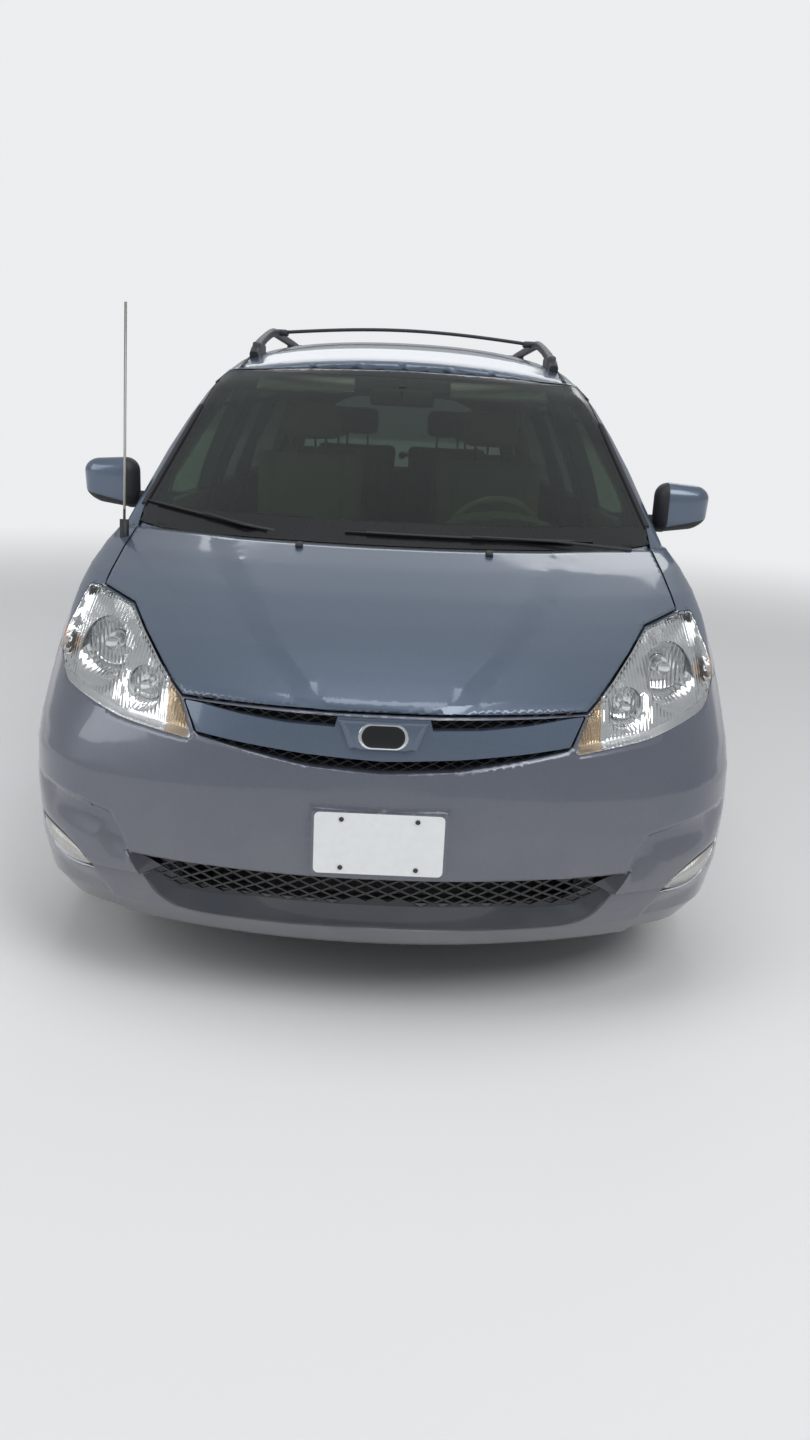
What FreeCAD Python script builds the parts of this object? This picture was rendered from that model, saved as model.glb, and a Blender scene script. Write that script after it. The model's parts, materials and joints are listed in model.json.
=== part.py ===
import FreeCAD, Part
import math
import os
from collections import namedtuple

V = FreeCAD.Vector

# Frame: millimetres, +Z up, the front faces -Y, the vehicle's left side is +X.
# The origin is on the ground, on the centreline, midway between the two ends.

# Overall sizes
LENGTH = 5104.0
HALF_WIDTH = 983.0
WHEELBASE = 3030.0
FRONT_OVERHANG = 945.0
SILL_Z = 200.0
BELT_Z = 1090.0
NOSE_Y = -LENGTH / 2
TAIL_Y = LENGTH / 2
FRONT_AXLE_Y = NOSE_Y + FRONT_OVERHANG
REAR_AXLE_Y = FRONT_AXLE_Y + WHEELBASE

# Body walls and gaps
WALL = 60.0
PANEL_GAP = 6.0
SEAT = 0.3
REVEAL = 5.5
FLANGE = 30.0
GLASS_INSET = 2.0
GLASS_THICKNESS = 5.0
GLASS_GAP = 0.3
GLASS_BASE_RISE = 35.0

# Doors, along the side
DOOR_FRONT_Y = FRONT_AXLE_Y + 475.0
DOOR_SPLIT_Y = DOOR_FRONT_Y + 1092.0
DOOR_REAR_Y = DOOR_SPLIT_Y + 1050.0
HINGE_X = HALF_WIDTH - 12.0
HINGE_Y = DOOR_FRONT_Y - 2.0
DOOR_BOTTOM_Z = 330.0
DOOR_TOP_Z = 1590.0
WINDOW_BASE_Z = BELT_Z + GLASS_BASE_RISE
WINDOW_TOP_Z = 1545.0
DOOR_FRAME = 55.0

# Hood and front face
HOOD_FRONT_Z = 797.0
HOOD_HALF_WIDTH = 822.0
HOOD_REAR_Y = NOSE_Y + 1152.0
HOOD_REAR_BOW = 290.0

# Roof and tailgate
ROOF_HALF = 610.0
ROOF_FRONT_Y = NOSE_Y + 1905.0
TAILGATE_TOP_Y = TAIL_Y - 265.0
TAILGATE_BOTTOM_Z = 655.0
TAILGATE_HALF = 700.0
BUMPER_TOP_Z = 648.0

# Floor
SILL_TOP_Z = DOOR_BOTTOM_Z - PANEL_GAP / 2
SILL_INNER_X = 800.0
FLOOR_THICKNESS = 40.0
FLOOR_Z = SILL_TOP_Z + FLOOR_THICKNESS
FLOOR_HALF = 857.0
FIREWALL_Y = FRONT_AXLE_Y + 445.0
FIREWALL_THICKNESS = 30.0
RAIL_X = 430.0
RAIL_WIDTH = 80.0
RAIL_HEIGHT = 110.0
RAIL_FRONT_Y = NOSE_Y + 255.0
LINER = 8.0
LINER_INNER_X = 520.0
REAR_LINER_INNER_X = 560.0

# Pipe, fuel and plates
PIPE_RADIUS = 27.0
PIPE_DROP = 82.0
TIP_RADIUS = 28.0
TIP_X = 600.0
TIP_Z = 205.0
PLATE_SPACING_X = 178.0
PLATE_SPACING_Z = 120.65
PLATE_HOLE = 3.5
FRONT_PLATE_Z = 499.0
REAR_PLATE_Z = 838.0

# Tailgate hinge
GATE_AXIS_Z = 1700.0
GATE_PIN = 6.0
GATE_PIN_GAP = 0.3

# Wheels
TYRE_OD = 679.0
TYRE_WIDTH = 215.0
RIM_DIAMETER = 410.0
RIM_WIDTH = 176.0
HALF_TRACK_FRONT = 832.0
HALF_TRACK_REAR = 850.0
WHEEL_Z = TYRE_OD / 2
ARCH_RADIUS = TYRE_OD / 2 + 45.0
HUB_BORE = 60.0
SHAFT_CLEARANCE = 0.5
SPOKES = 7
KING_X = 740.0
KING_LEAN = math.radians(12.2)

SIDE_BOW = 54000.0
TAIL_BOW = 2600.0
TAIL_CORNER = 260.0
SIDE_GLASS_BOW = 2730.0
WIDEST_Z = 300.0
CREASE = 38.0
COARSE_INSET = 45.0
FAR = 3200.0

# Plan outlines of the lower body, one per height. nose_in and tail_in are measured
# in from the two ends, side_in from the widest point. bow and corner are the radii of
# the front, and ridge and lift place the crease that runs along the hood.
Level = namedtuple("Level", "z nose_in bow corner side_in tail_in ridge lift")
LEVELS = [Level(*row) for row in (
    (SILL_Z, 82, 1700, 400, 52, 112, 150, 0),
    (SILL_Z + 60, 31, 1700, 390, 26, 47, 150, 0),
    (360, 4, 1700, 375, 13, 8, 150, 0),
    (500, 2, 1660, 370, 4, 0, 150, 0),
    (600, 12, 1560, 380, 0, 4, 150, 0),
    (660, 22, 1450, 430, 0, 47, 150, 0),
    (730, 34, 1300, 520, 3, 52, 150, 0),
    (790, 47, 1180, 580, 8, 47, 160, 0),
    (820, 82, 1200, 560, 13, 42, 180, 14),
    (850, 147, 1300, 500, 18, 37, 220, 22),
    (900, 257, 1400, 400, 27, 32, 290, 26),
    (950, 382, 1450, 280, 37, 30, 350, 28),
    (1000, 522, 1500, 200, 49, 32, 410, 28),
    (1050, 682, 1500, 160, 65, 37, 470, 24),
    (BELT_Z + 10, 862, 1400, 150, 86, 52, 530, 20))]

# Cross-sections of the glasshouse, one per place along the length. top is the height
# at the centreline, crown and corner are radii, belt_in is measured in from the side.
Station = namedtuple("Station", "y top crown corner belt_in")
STATIONS = [Station(*row) for row in (
    (NOSE_Y + 772, 1020, 2400, 100, 111),
    (NOSE_Y + 1152, 1245, 2400, 100, 99),
    (NOSE_Y + 1552, 1473, 2600, 105, 91),
    (NOSE_Y + 1702, 1557, 2900, 110, 89),
    (NOSE_Y + 1833, 1622, 3300, 115, 88),
    (NOSE_Y + 1952, 1666, 3700, 120, 87),
    (NOSE_Y + 2152, 1704, 4300, 125, 86),
    (NOSE_Y + 2452, 1727, 4600, 130, 86),
    (0, 1736, 4600, 130, 86),
    (TAIL_Y - 1600, 1732, 4600, 130, 88),
    (TAIL_Y - 700, 1706, 4600, 130, 94),
    (TAIL_Y - 250, 1682, 4600, 130, 98),
    (TAIL_Y + 48, 1655, 4600, 130, 103))]

# Plan outlines that close the glasshouse at the back, one per height.
Closing = namedtuple("Closing", "z tail_in out")
CLOSINGS = [Closing(*row) for row in (
    (900, 34, 27), (1100, 52, 17), (1250, 90, -3), (1400, 132, -28), (1600, 197, -78),
    (1740, 252, -123), (1800, 282, -143))]


def corner_centre(bow_y, bow, half, corner, side_bow, side_y, sign):
    """Centre of the round corner that joins a bow to a side arc."""
    x1 = half - side_bow
    r0 = bow - corner
    r1 = side_bow - corner
    dy = side_y - bow_y
    span = math.hypot(x1, dy)
    along = (r0 * r0 - r1 * r1 + span * span) / (2 * span)
    off = math.sqrt(max(r0 * r0 - along * along, 0.0))
    px = along * x1 / span
    py = bow_y + along * dy / span
    both = [(px + off * dy / span, py - off * x1 / span),
            (px - off * dy / span, py + off * x1 / span)]
    return max(both, key=lambda p: sign * p[1])


def arc_span(centre, radius, start, end):
    """Three points of an arc: its start, middle and end."""
    return [(centre[0] + radius * math.cos(t), centre[1] + radius * math.sin(t))
            for t in (start, (start + end) / 2, end)]


def direction(centre, point):
    return math.atan2(point[1] - centre[1], point[0] - centre[0])


def plan_half(level, inset):
    """Spans of half a plan outline, from the front's middle round to the tail's middle."""
    half = HALF_WIDTH - level.side_in
    tail = TAIL_Y - level.tail_in
    bow_c = (0.0, NOSE_Y + level.nose_in + level.bow)
    side_c = (half - SIDE_BOW, 0.0)
    tail_c = (0.0, tail - TAIL_BOW)
    front = corner_centre(bow_c[1], level.bow, half, level.corner, SIDE_BOW, 0.0, -1)
    back = corner_centre(tail_c[1], TAIL_BOW, half, TAIL_CORNER, SIDE_BOW, 0.0, 1)
    bow = level.bow - inset
    a1 = direction(bow_c, front)
    a2 = direction(side_c, front)
    a3 = direction(side_c, back)
    a4 = direction(tail_c, back)
    a0 = -math.acos((level.ridge + CREASE) / bow)
    x0 = level.ridge - CREASE
    y0 = bow_c[1] - math.sqrt(bow * bow - x0 * x0) - level.lift
    outer = arc_span(bow_c, bow, a0, a1)
    return [((0.0, bow_c[1] - bow - level.lift), None, (x0, y0)),
            ((x0, y0), None, outer[0]), outer,
            arc_span(front, level.corner - inset, a1, a2),
            arc_span(side_c, SIDE_BOW - inset, a2, a3),
            arc_span(back, TAIL_CORNER - inset, a3, a4),
            arc_span(tail_c, TAIL_BOW - inset, a4, math.pi / 2)]


def section_half(station, inset):
    """Spans of half a cross-section of the glasshouse, from its top down."""
    half = HALF_WIDTH - station.belt_in + (BELT_Z - WIDEST_Z) ** 2 / (2 * SIDE_GLASS_BOW)
    crown_c = (0.0, station.top - station.crown)
    side_c = (half - SIDE_GLASS_BOW, WIDEST_Z)
    corner = corner_centre(crown_c[1], station.crown, half, station.corner,
                           SIDE_GLASS_BOW, WIDEST_Z, 1)
    a1 = direction(crown_c, corner)
    a2 = direction(side_c, corner)
    a3 = math.asin((BELT_Z - 350.0 - WIDEST_Z) / SIDE_GLASS_BOW)
    side = arc_span(side_c, SIDE_GLASS_BOW - inset, a2, a3)
    return [arc_span(crown_c, station.crown - inset, math.pi / 2, a1),
            arc_span(corner, station.corner - inset, a1, a2), side, (side[2], None, None)]


def closing_half(closing, inset):
    """Spans of half a plan outline whose back closes the glasshouse."""
    half = HALF_WIDTH + closing.out - inset
    tail = TAIL_Y - closing.tail_in - inset
    corner = 300.0 - inset
    bow = TAIL_BOW - inset
    tail_c = (0.0, tail - bow)
    side_c = (half - SIDE_BOW, 0.0)
    back = corner_centre(tail_c[1], bow, half, corner, SIDE_BOW, 0.0, 1)
    a3 = direction(side_c, back)
    a4 = direction(tail_c, back)
    side = arc_span(side_c, SIDE_BOW, -0.04, a3)
    return [(None, None, side[0]), side, arc_span(back, corner, a3, a4),
            arc_span(tail_c, bow, a4, math.pi / 2)]


def whole_loop(half):
    """The spans of a closed outline from those of its right half."""
    def flip(p):
        return None if p is None else (-p[0], p[1])
    middle = half[1:-1]
    end = half[0][2]
    first = (flip(end), half[0][0], end)
    start = half[-1][0]
    last = (start, half[-1][2], flip(start))
    return [first] + middle + [last] + [(flip(c), flip(b), flip(a)) for a, b, c in middle[::-1]]


def ruled_solid(rows, place):
    """A solid of ruled faces between rows of like spans, each row at its own level."""
    rings = []
    for level, spans in rows:
        ring = []
        for a, b, c in spans:
            if b is None:
                ring.append(Part.makeLine(place(a, level), place(c, level)))
            else:
                ring.append(Part.Arc(place(a, level), place(b, level),
                                     place(c, level)).toShape())
        rings.append(ring)
    faces = [Part.Face(Part.Wire(rings[0])), Part.Face(Part.Wire(rings[-1]))]
    for low, high in zip(rings, rings[1:]):
        faces += [Part.makeRuledSurface(a, b) for a, b in zip(low, high)]
    shell = Part.makeShell(faces)
    shell.sewShape()
    solid = Part.Solid(shell)
    if solid.Volume < 0:
        solid.reverse()
    return solid


def in_plan(point, level):
    return V(point[0], point[1], level)


def in_section(point, level):
    return V(point[0], level, point[1])


def box(x0, x1, y0, y1, z0, z1):
    return Part.makeBox(x1 - x0, y1 - y0, z1 - z0, V(x0, y0, z0))


def chosen(table, inset):
    """Every row for the outer skins, every second one for the inner skins."""
    return table if inset < COARSE_INSET else table[::2]


def lower_body(inset):
    rows = [(level.z, whole_loop(plan_half(level, inset))) for level in chosen(LEVELS, inset)]
    cut = box(-FAR, FAR, -FAR, FAR, SILL_Z - 50, BELT_Z)
    return ruled_solid(rows, in_plan).common(cut).Solids[0]


def glasshouse(inset):
    rows = [(s.y, whole_loop(section_half(s, inset))) for s in chosen(STATIONS, inset)]
    back = [(c.z, whole_loop(closing_half(c, inset))) for c in chosen(CLOSINGS, inset)]
    cut = box(-FAR, FAR, -FAR, FAR, BELT_Z - 6, BELT_Z + 900)
    house = ruled_solid(rows, in_section).common(cut)
    return house.common(ruled_solid(back, in_plan)).Solids[0]


def rounded_wire(points, radii):
    """A closed outline through points, each corner rounded by its radius."""
    count = len(points)
    if not isinstance(radii, (list, tuple)):
        radii = [radii] * count
    edges = []
    ends = []
    for i, corner in enumerate(points):
        before = (points[i - 1] - corner).normalize()
        after = (points[(i + 1) % count] - corner).normalize()
        turn = math.pi - before.getAngle(after)
        radius = radii[i]
        if radius <= 0 or turn < 1e-4:
            ends.append((corner, corner, None))
            continue
        reach = radius * math.tan(turn / 2)
        middle = (before + after).normalize()
        apex = corner + middle * (radius / math.cos(turn / 2) - radius)
        ends.append((corner + before * reach, corner + after * reach, apex))
    for i, (start, end, apex) in enumerate(ends):
        if apex is not None:
            edges.append(Part.Arc(start, apex, end).toShape())
        following = ends[(i + 1) % count][0]
        if (following - end).Length > 1e-6:
            edges.append(Part.makeLine(end, following))
    return Part.Wire(edges)


def prism(wire, way, offset=0.0):
    """The outline, grown by offset, pushed along way."""
    if offset:
        wire = wire.makeOffset2D(offset)
    return Part.Face(wire).extrude(way)


def side_prism(points, radii, x0, x1, offset=0.0):
    """Outline in (y, z), from x0 to x1."""
    wire = rounded_wire([V(x0, y, z) for y, z in points], radii)
    return prism(wire, V(x1 - x0, 0, 0), offset)


def front_prism(points, radii, y0, y1, offset=0.0):
    """Outline in (x, z), from y0 to y1."""
    wire = rounded_wire([V(x, y0, z) for x, z in points], radii)
    return prism(wire, V(0, y1 - y0, 0), offset)


def plan_prism(points, radii, z0, z1, offset=0.0):
    """Outline in (x, y), from z0 to z1."""
    wire = rounded_wire([V(x, y, z0) for x, y in points], radii)
    return prism(wire, V(0, 0, z1 - z0), offset)


def inside(point, outline):
    """Whether a point lies inside a closed outline."""
    hits = 0
    for (xa, za), (xb, zb) in zip(outline, outline[1:] + outline[:1]):
        if (za > point[1]) != (zb > point[1]):
            hits += point[0] < xa + (point[1] - za) * (xb - xa) / (zb - za)
    return hits % 2 == 1


def diamond_holes(outline, hidden, y0, y1):
    """The holes of a diamond mesh that fit inside an outline and show past hidden."""
    a = MESH_CELL[0] / 2
    b = MESH_CELL[1] / 2
    shrink = 1 - MESH_WIRE / 2 * math.hypot(a, b) / (a * b)
    low = min(z for _, z in outline)
    high = max(z for _, z in outline)
    wide = max(x for x, _ in outline)
    holes = []
    for row in range(int((high - low) / b) + 1):
        z = low + row * b
        count = int(wide / a) + 1
        for column in range(-count, count + 1):
            if (row + column) % 2:
                continue
            x = column * a
            tips = [(x - a * shrink, z), (x, z - b * shrink), (x + a * shrink, z),
                    (x, z + b * shrink)]
            if not all(inside(tip, outline) for tip in tips):
                continue
            if hidden and all(inside(tip, hidden) for tip in tips):
                continue
            wire = Part.makePolygon([V(p, y0, q) for p, q in tips + tips[:1]])
            holes.append(Part.Face(wire).extrude(V(0, y1 - y0, 0)))
    return Part.makeCompound(holes)


def mirrored(shape):
    return shape.mirror(V(0, 0, 0), V(1, 0, 0))


def both_sides(points):
    """A whole outline from its right half, which runs from bottom to top."""
    return points + [(-a, b) for a, b in points[::-1] if a > 0]


def cut_all(shape, tools):
    for tool in tools:
        shape = shape.cut(tool)
    return shape


def biggest(shape):
    return max(shape.Solids, key=lambda s: s.Volume)


def along_x(radius, x0, x1, y, z):
    return Part.makeCylinder(radius, x1 - x0, V(x0, y, z), V(1, 0, 0))


# Front-view outlines, as (x, z) of the right half
LAMP = [(457, 700), (655, 721), (834, 764), (886, 815), (897, 845), (873, 912), (860, 968),
        (821, 969), (695, 943), (489, 791)]
LAMP_RADII = [10, 300, 60, 40, 50, 60, 12, 12, 60, 12]
GRILLE = [(0, 664), (175, 671), (330, 694), (440, 712), (453, 722), (485, HOOD_FRONT_Z - 6),
          (0, HOOD_FRONT_Z - 6)]
BAR = [(0, 693), (175, 700), (330, 711), (446, 722), (480, 789), (440, 787), (340, 775),
       (230, 767), (114, 766), (108, 790), (0, 790)]
INTAKE = [(0, 322), (300, 319), (470, 312), (525, 306), (617, 398), (400, 404), (0, 407)]
MESH_CELL = (54.0, 25.0)
MESH_WIRE = 5.0
FOG_TOP = (800, 402)
FOG_LOW = (838, 350)
FOG_TIPS = ((716, 334), (893, 423))

# Round reflectors of a headlamp: centre, radius, where the dome begins and its depth
Bowl = namedtuple("Bowl", "x z radius y depth")
BOWLS = [Bowl(748, 836, 74, NOSE_Y + 567, 22), Bowl(603, 785, 48, NOSE_Y + 327, 16)]

PARTS = {}


def keep(name, *solids):
    """Name a piece, one solid or several that do not touch."""
    PARTS[name] = solids[0] if len(solids) == 1 else Part.makeCompound(list(solids))


def keep_pair(name, solid):
    keep(name, solid, mirrored(solid))


class Body:
    """The body's closed outer form and the same form at each inset."""

    def __init__(self):
        self.low = {}
        self.high = {}
        self.outer = self.skin(0.0).fuse(self.house(0.0))
        self.inner = self.skin(WALL).fuse(self.house(WALL))
        self.glass = self.house(GLASS_INSET).cut(self.house(GLASS_INSET + GLASS_THICKNESS))

    def skin(self, inset):
        if inset not in self.low:
            self.low[inset] = lower_body(inset)
        return self.low[inset]

    def house(self, inset):
        if inset not in self.high:
            self.high[inset] = glasshouse(inset)
        return self.high[inset]

    def wall(self, region):
        """The whole wall inside a region."""
        return self.outer.common(region).cut(self.inner)

    def layer(self, first, last, region):
        """The lower body between two insets, inside a region."""
        return self.skin(first).common(region).cut(self.skin(last))


def front_door_outline():
    pillar = DOOR_FRONT_Y + 534
    rear = DOOR_SPLIT_Y + 30
    return [(DOOR_FRONT_Y, DOOR_BOTTOM_Z), (rear, DOOR_BOTTOM_Z), (rear, DOOR_TOP_Z),
            (pillar + 90, DOOR_TOP_Z), (pillar, 1525),
            (DOOR_FRONT_Y, 1180)]


def front_window_outline():
    pillar = DOOR_FRONT_Y + 534
    rear = DOOR_SPLIT_Y - DOOR_FRAME
    return [(DOOR_FRONT_Y + 130, WINDOW_BASE_Z), (rear - 10, WINDOW_BASE_Z),
            (rear - 30, WINDOW_TOP_Z), (pillar + 90, WINDOW_TOP_Z),
            (DOOR_FRONT_Y + 130, 1214)]


def sliding_outline():
    front = DOOR_SPLIT_Y - 60
    return [(front, DOOR_BOTTOM_Z), (DOOR_REAR_Y, DOOR_BOTTOM_Z), (DOOR_REAR_Y, DOOR_TOP_Z),
            (front, DOOR_TOP_Z)]


def sliding_window_outline():
    front = DOOR_SPLIT_Y + DOOR_FRAME - 10
    return [(front, WINDOW_BASE_Z), (DOOR_REAR_Y - DOOR_FRAME, WINDOW_BASE_Z),
            (DOOR_REAR_Y - DOOR_FRAME, WINDOW_TOP_Z), (front - 20, WINDOW_TOP_Z)]


def quarter_window_outline():
    return [(DOOR_REAR_Y + DOOR_FRAME, WINDOW_BASE_Z), (TAIL_Y - 320, WINDOW_BASE_Z),
            (TAIL_Y - 420, WINDOW_TOP_Z - 10), (DOOR_REAR_Y + DOOR_FRAME, WINDOW_TOP_Z)]


def windshield_outline():
    return both_sides([(0, 1000), (822, 1000), (822, 1142), (680, 1604), (340, 1618),
                       (0, 1624)])


def tailgate_outline():
    return both_sides([(0, TAILGATE_BOTTOM_Z), (TAILGATE_HALF - 60, TAILGATE_BOTTOM_Z),
                       (TAILGATE_HALF, TAILGATE_BOTTOM_Z + 80), (TAILGATE_HALF + 60, BELT_Z),
                       (TAILGATE_HALF - 40, 1560), (TAILGATE_HALF - 120, 1640),
                       (ROOF_HALF - 60, 1780), (0, 1780)])


def tail_window_outline():
    return both_sides([(0, WINDOW_BASE_Z + 10), (TAILGATE_HALF - 40, WINDOW_BASE_Z + 10),
                       (TAILGATE_HALF - 120, 1560), (0, 1590)])


def hood_space(offset):
    """The room of the hood, its outline grown by offset."""
    outline = both_sides([(0, HOOD_FRONT_Z), (489, HOOD_FRONT_Z - 4), (695, 943), (812, 968),
                          (HOOD_HALF_WIDTH, 1300), (0, 1300)])
    face = front_prism(outline, 0, -FAR, HOOD_REAR_Y + 30, offset)
    side = HOOD_HALF_WIDTH + 40
    rear = [V(-side, HOOD_REAR_Y + 40, 700), V(0, HOOD_REAR_Y - HOOD_REAR_BOW, 700),
            V(side, HOOD_REAR_Y + 40, 700)]
    arc = Part.Arc(*[p + V(0, offset, 0) for p in rear]).toShape()
    first = arc.firstVertex().Point
    last = arc.lastVertex().Point
    ahead = [V(last.x, -FAR, 700), V(first.x, -FAR, 700)]
    sides = [Part.makeLine(last, ahead[0]), Part.makeLine(ahead[0], ahead[1]),
             Part.makeLine(ahead[1], first)]
    plan = Part.Face(Part.Wire([arc] + sides)).extrude(V(0, 0, 700))
    return face.common(plan)


def build_doors(body):
    """Front doors, sliding doors and their glass."""
    half_gap = PANEL_GAP / 2
    x_in = 500.0
    x_out = 1200.0
    reach = DOOR_SPLIT_Y - HINGE_Y - half_gap
    swing = Part.makeCylinder(reach, 1600, V(HINGE_X, HINGE_Y, 200))
    swing_out = Part.makeCylinder(reach + PANEL_GAP, 1600, V(HINGE_X, HINGE_Y, 200))
    radii = [45, 0, 0, 60, 60, 40]
    door = side_prism(front_door_outline(), radii, x_in, x_out, -half_gap)
    window = side_prism(front_window_outline(), [0, 0, 0, 120, 40], x_in, x_out)
    pane = side_prism(front_window_outline(), [0, 0, 0, 120, 40], x_in, x_out, -GLASS_GAP)
    door_left = biggest(body.wall(door.common(swing)).cut(window))
    pane_left = biggest(body.glass.common(pane))
    keep("front_door_left", door_left)
    keep("front_door_right", mirrored(door_left))
    keep("front_door_glass_left", pane_left)
    keep("front_door_glass_right", mirrored(pane_left))
    slide = side_prism(sliding_outline(), [0, 60, 40, 0], x_in, x_out, -half_gap)
    slide_window = side_prism(sliding_window_outline(), 0, x_in, x_out)
    slide_pane = side_prism(sliding_window_outline(), 0, x_in, x_out, -GLASS_GAP)
    keep_pair("sliding_doors", biggest(body.wall(slide.cut(swing_out)).cut(slide_window)))
    keep_pair("sliding_door_glass", biggest(body.glass.common(slide_pane)))
    outline = front_door_outline()[:1] + sliding_outline()[1:3] + front_door_outline()[3:]
    return side_prism(outline, [45, 60, 40, 60, 60, 40], 300, x_out, half_gap)


def plate_holes(y0, y1, z):
    """The four holes that take a registration plate."""
    return [Part.makeCylinder(PLATE_HOLE, y1 - y0, V(sx * PLATE_SPACING_X / 2, y0,
                                                     z + sz * PLATE_SPACING_Z / 2), V(0, 1, 0))
            for sx in (-1, 1) for sz in (-1, 1)]


def gate_lug(side):
    """The tailgate's half of a hinge: an eye on an arm that rises from the gate."""
    x0 = 350.5 if side > 0 else -372.0
    eye = along_x(12, x0, x0 + 21.5, TAILGATE_TOP_Y, GATE_AXIS_Z)
    arm = box(x0, x0 + 21.5, TAILGATE_TOP_Y + 3, TAILGATE_TOP_Y + 25, GATE_AXIS_Z - 60,
              GATE_AXIS_Z + 10)
    hole = along_x(GATE_PIN + GATE_PIN_GAP, x0 - 1, x0 + 23, TAILGATE_TOP_Y, GATE_AXIS_Z)
    return eye.fuse(arm).cut(hole)


def roof_lug(side):
    """The roof's half of a hinge, with its pin."""
    x0 = 330.0 if side > 0 else -350.0
    x1 = 330.0 if side > 0 else -372.0
    eye = along_x(12, x0, x0 + 20, TAILGATE_TOP_Y, GATE_AXIS_Z)
    arm = box(x0, x0 + 20, TAILGATE_TOP_Y - 28, TAILGATE_TOP_Y - 5, GATE_AXIS_Z - 60,
              GATE_AXIS_Z + 10)
    pin = along_x(GATE_PIN, x1, x1 + 42, TAILGATE_TOP_Y, GATE_AXIS_Z)
    return eye.fuse(arm).fuse(pin)


def build_tail(body):
    """Tailgate, its glass, the tail lamps and the rear bumper."""
    half_gap = PANEL_GAP / 2
    gate_prism = front_prism(tailgate_outline(), 30, TAILGATE_TOP_Y + half_gap, FAR, -half_gap)
    gate_window = front_prism(tail_window_outline(), 40, TAILGATE_TOP_Y, FAR)
    gate = biggest(body.wall(gate_prism).cut(gate_window))
    pad = box(-158, 158, TAIL_Y - 80, TAIL_Y - 29, REAR_PLATE_Z - 78, REAR_PLATE_Z + 78)
    gate = cut_all(gate.fuse(pad), plate_holes(TAIL_Y - 50, TAIL_Y, REAR_PLATE_Z))
    for sign in (-1, 1):
        gate = gate.fuse(gate_lug(sign))
    keep("tailgate", biggest(gate))
    gate_pane = front_prism(tail_window_outline(), 40, TAILGATE_TOP_Y, FAR, -GLASS_GAP)
    keep("tailgate_glass", biggest(body.glass.common(gate_pane)))
    gate_out = front_prism(tailgate_outline(), 30, TAILGATE_TOP_Y - half_gap, FAR, half_gap)
    outline = [(TAIL_Y - 330, 700), (TAIL_Y + 50, 690), (TAIL_Y + 50, 1078),
               (TAIL_Y - 290, 1078)]
    lamp_out = side_prism(outline, 30, TAILGATE_HALF - 40, 1200)
    lamp_in = side_prism(outline, 30, TAILGATE_HALF - 40 + SEAT, 1200, -SEAT).cut(gate_out)
    keep_pair("tail_lamps", biggest(body.layer(0.0, 45.0, lamp_in)))
    bumper_space = box(-1200, 1200, REAR_AXLE_Y + 150 + SEAT, FAR, SILL_Z - 60, BUMPER_TOP_Z)
    arch = along_x(ARCH_RADIUS, -1200, 1200, REAR_AXLE_Y, WHEEL_Z)
    notch = Part.makeCylinder(TIP_RADIUS + 14, 500, V(TIP_X, TAIL_Y - 450, TIP_Z), V(0, 1, 0))
    rear = body.layer(0.0, WALL, bumper_space).cut(arch).cut(notch)
    keep("rear_bumper", biggest(rear))
    bumper_out = box(-1200, 1200, REAR_AXLE_Y + 150, FAR, SILL_Z - 60, BUMPER_TOP_Z + SEAT)
    return [gate_out, lamp_out, bumper_out, arch]


def bumper_room(y):
    """The room of the front bumper, which ends at y above the wheel's centre."""
    upper = box(-1200, 1200, NOSE_Y - 100, y, SILL_Z - 60, 820)
    return upper.fuse(box(-1200, 1200, NOSE_Y - 100, y + 48, SILL_Z - 60, WHEEL_Z - 40))


def bowl_form(bowl, radius, extra):
    """A round reflector's room: a tube along the axis that ends in a dome."""
    y0 = NOSE_Y - 50
    deep = bowl.y + bowl.depth + extra
    corner = V(bowl.x + radius, bowl.y + extra, bowl.z)
    middle = V(bowl.x + radius * 0.62, bowl.y + bowl.depth * 0.68 + extra, bowl.z)
    end = V(bowl.x, deep, bowl.z)
    start = V(bowl.x, y0, bowl.z)
    rim = V(bowl.x + radius, y0, bowl.z)
    edges = [Part.makeLine(start, rim), Part.makeLine(rim, corner),
             Part.makeLine(corner, middle), Part.makeLine(middle, end),
             Part.makeLine(end, start)]
    return Part.Face(Part.Wire(edges)).revolve(start, V(0, 1, 0), 360)


def lamp_housing(body, lamp_in):
    """A tray behind the lens with two round reflectors sunk in it."""
    face = 4.0 + SEAT
    pocket = front_prism(LAMP, LAMP_RADII, NOSE_Y - 50, NOSE_Y + 850, -7.0)
    housing = body.layer(face, 70.0, lamp_in)
    room = body.skin(face).common(lamp_in)
    for bowl in BOWLS:
        housing = housing.fuse(bowl_form(bowl, bowl.radius + 7, 7).common(room))
    housing = housing.cut(body.layer(2.0, 28.0, pocket))
    return biggest(cut_all(housing, [bowl_form(bowl, bowl.radius, 0) for bowl in BOWLS]))


def lip_scoop():
    """The shallow hollow below the intake, which fades out towards its ends."""
    radius = 2150.0
    axis_y = NOSE_Y + 19 + radius
    profile = [(40, 345), (-26, 345), (-27, 300), (-24, 282), (-14, 264), (-2, 254), (40, 246)]
    corners = [V(0, axis_y - radius - out, z) for out, z in profile]
    face = Part.Face(Part.makePolygon(corners + corners[:1]))
    face.rotate(V(0, axis_y, 0), V(0, 0, 1), -20)
    return face.revolve(V(0, axis_y, 0), V(0, 0, 1), 40)


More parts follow.
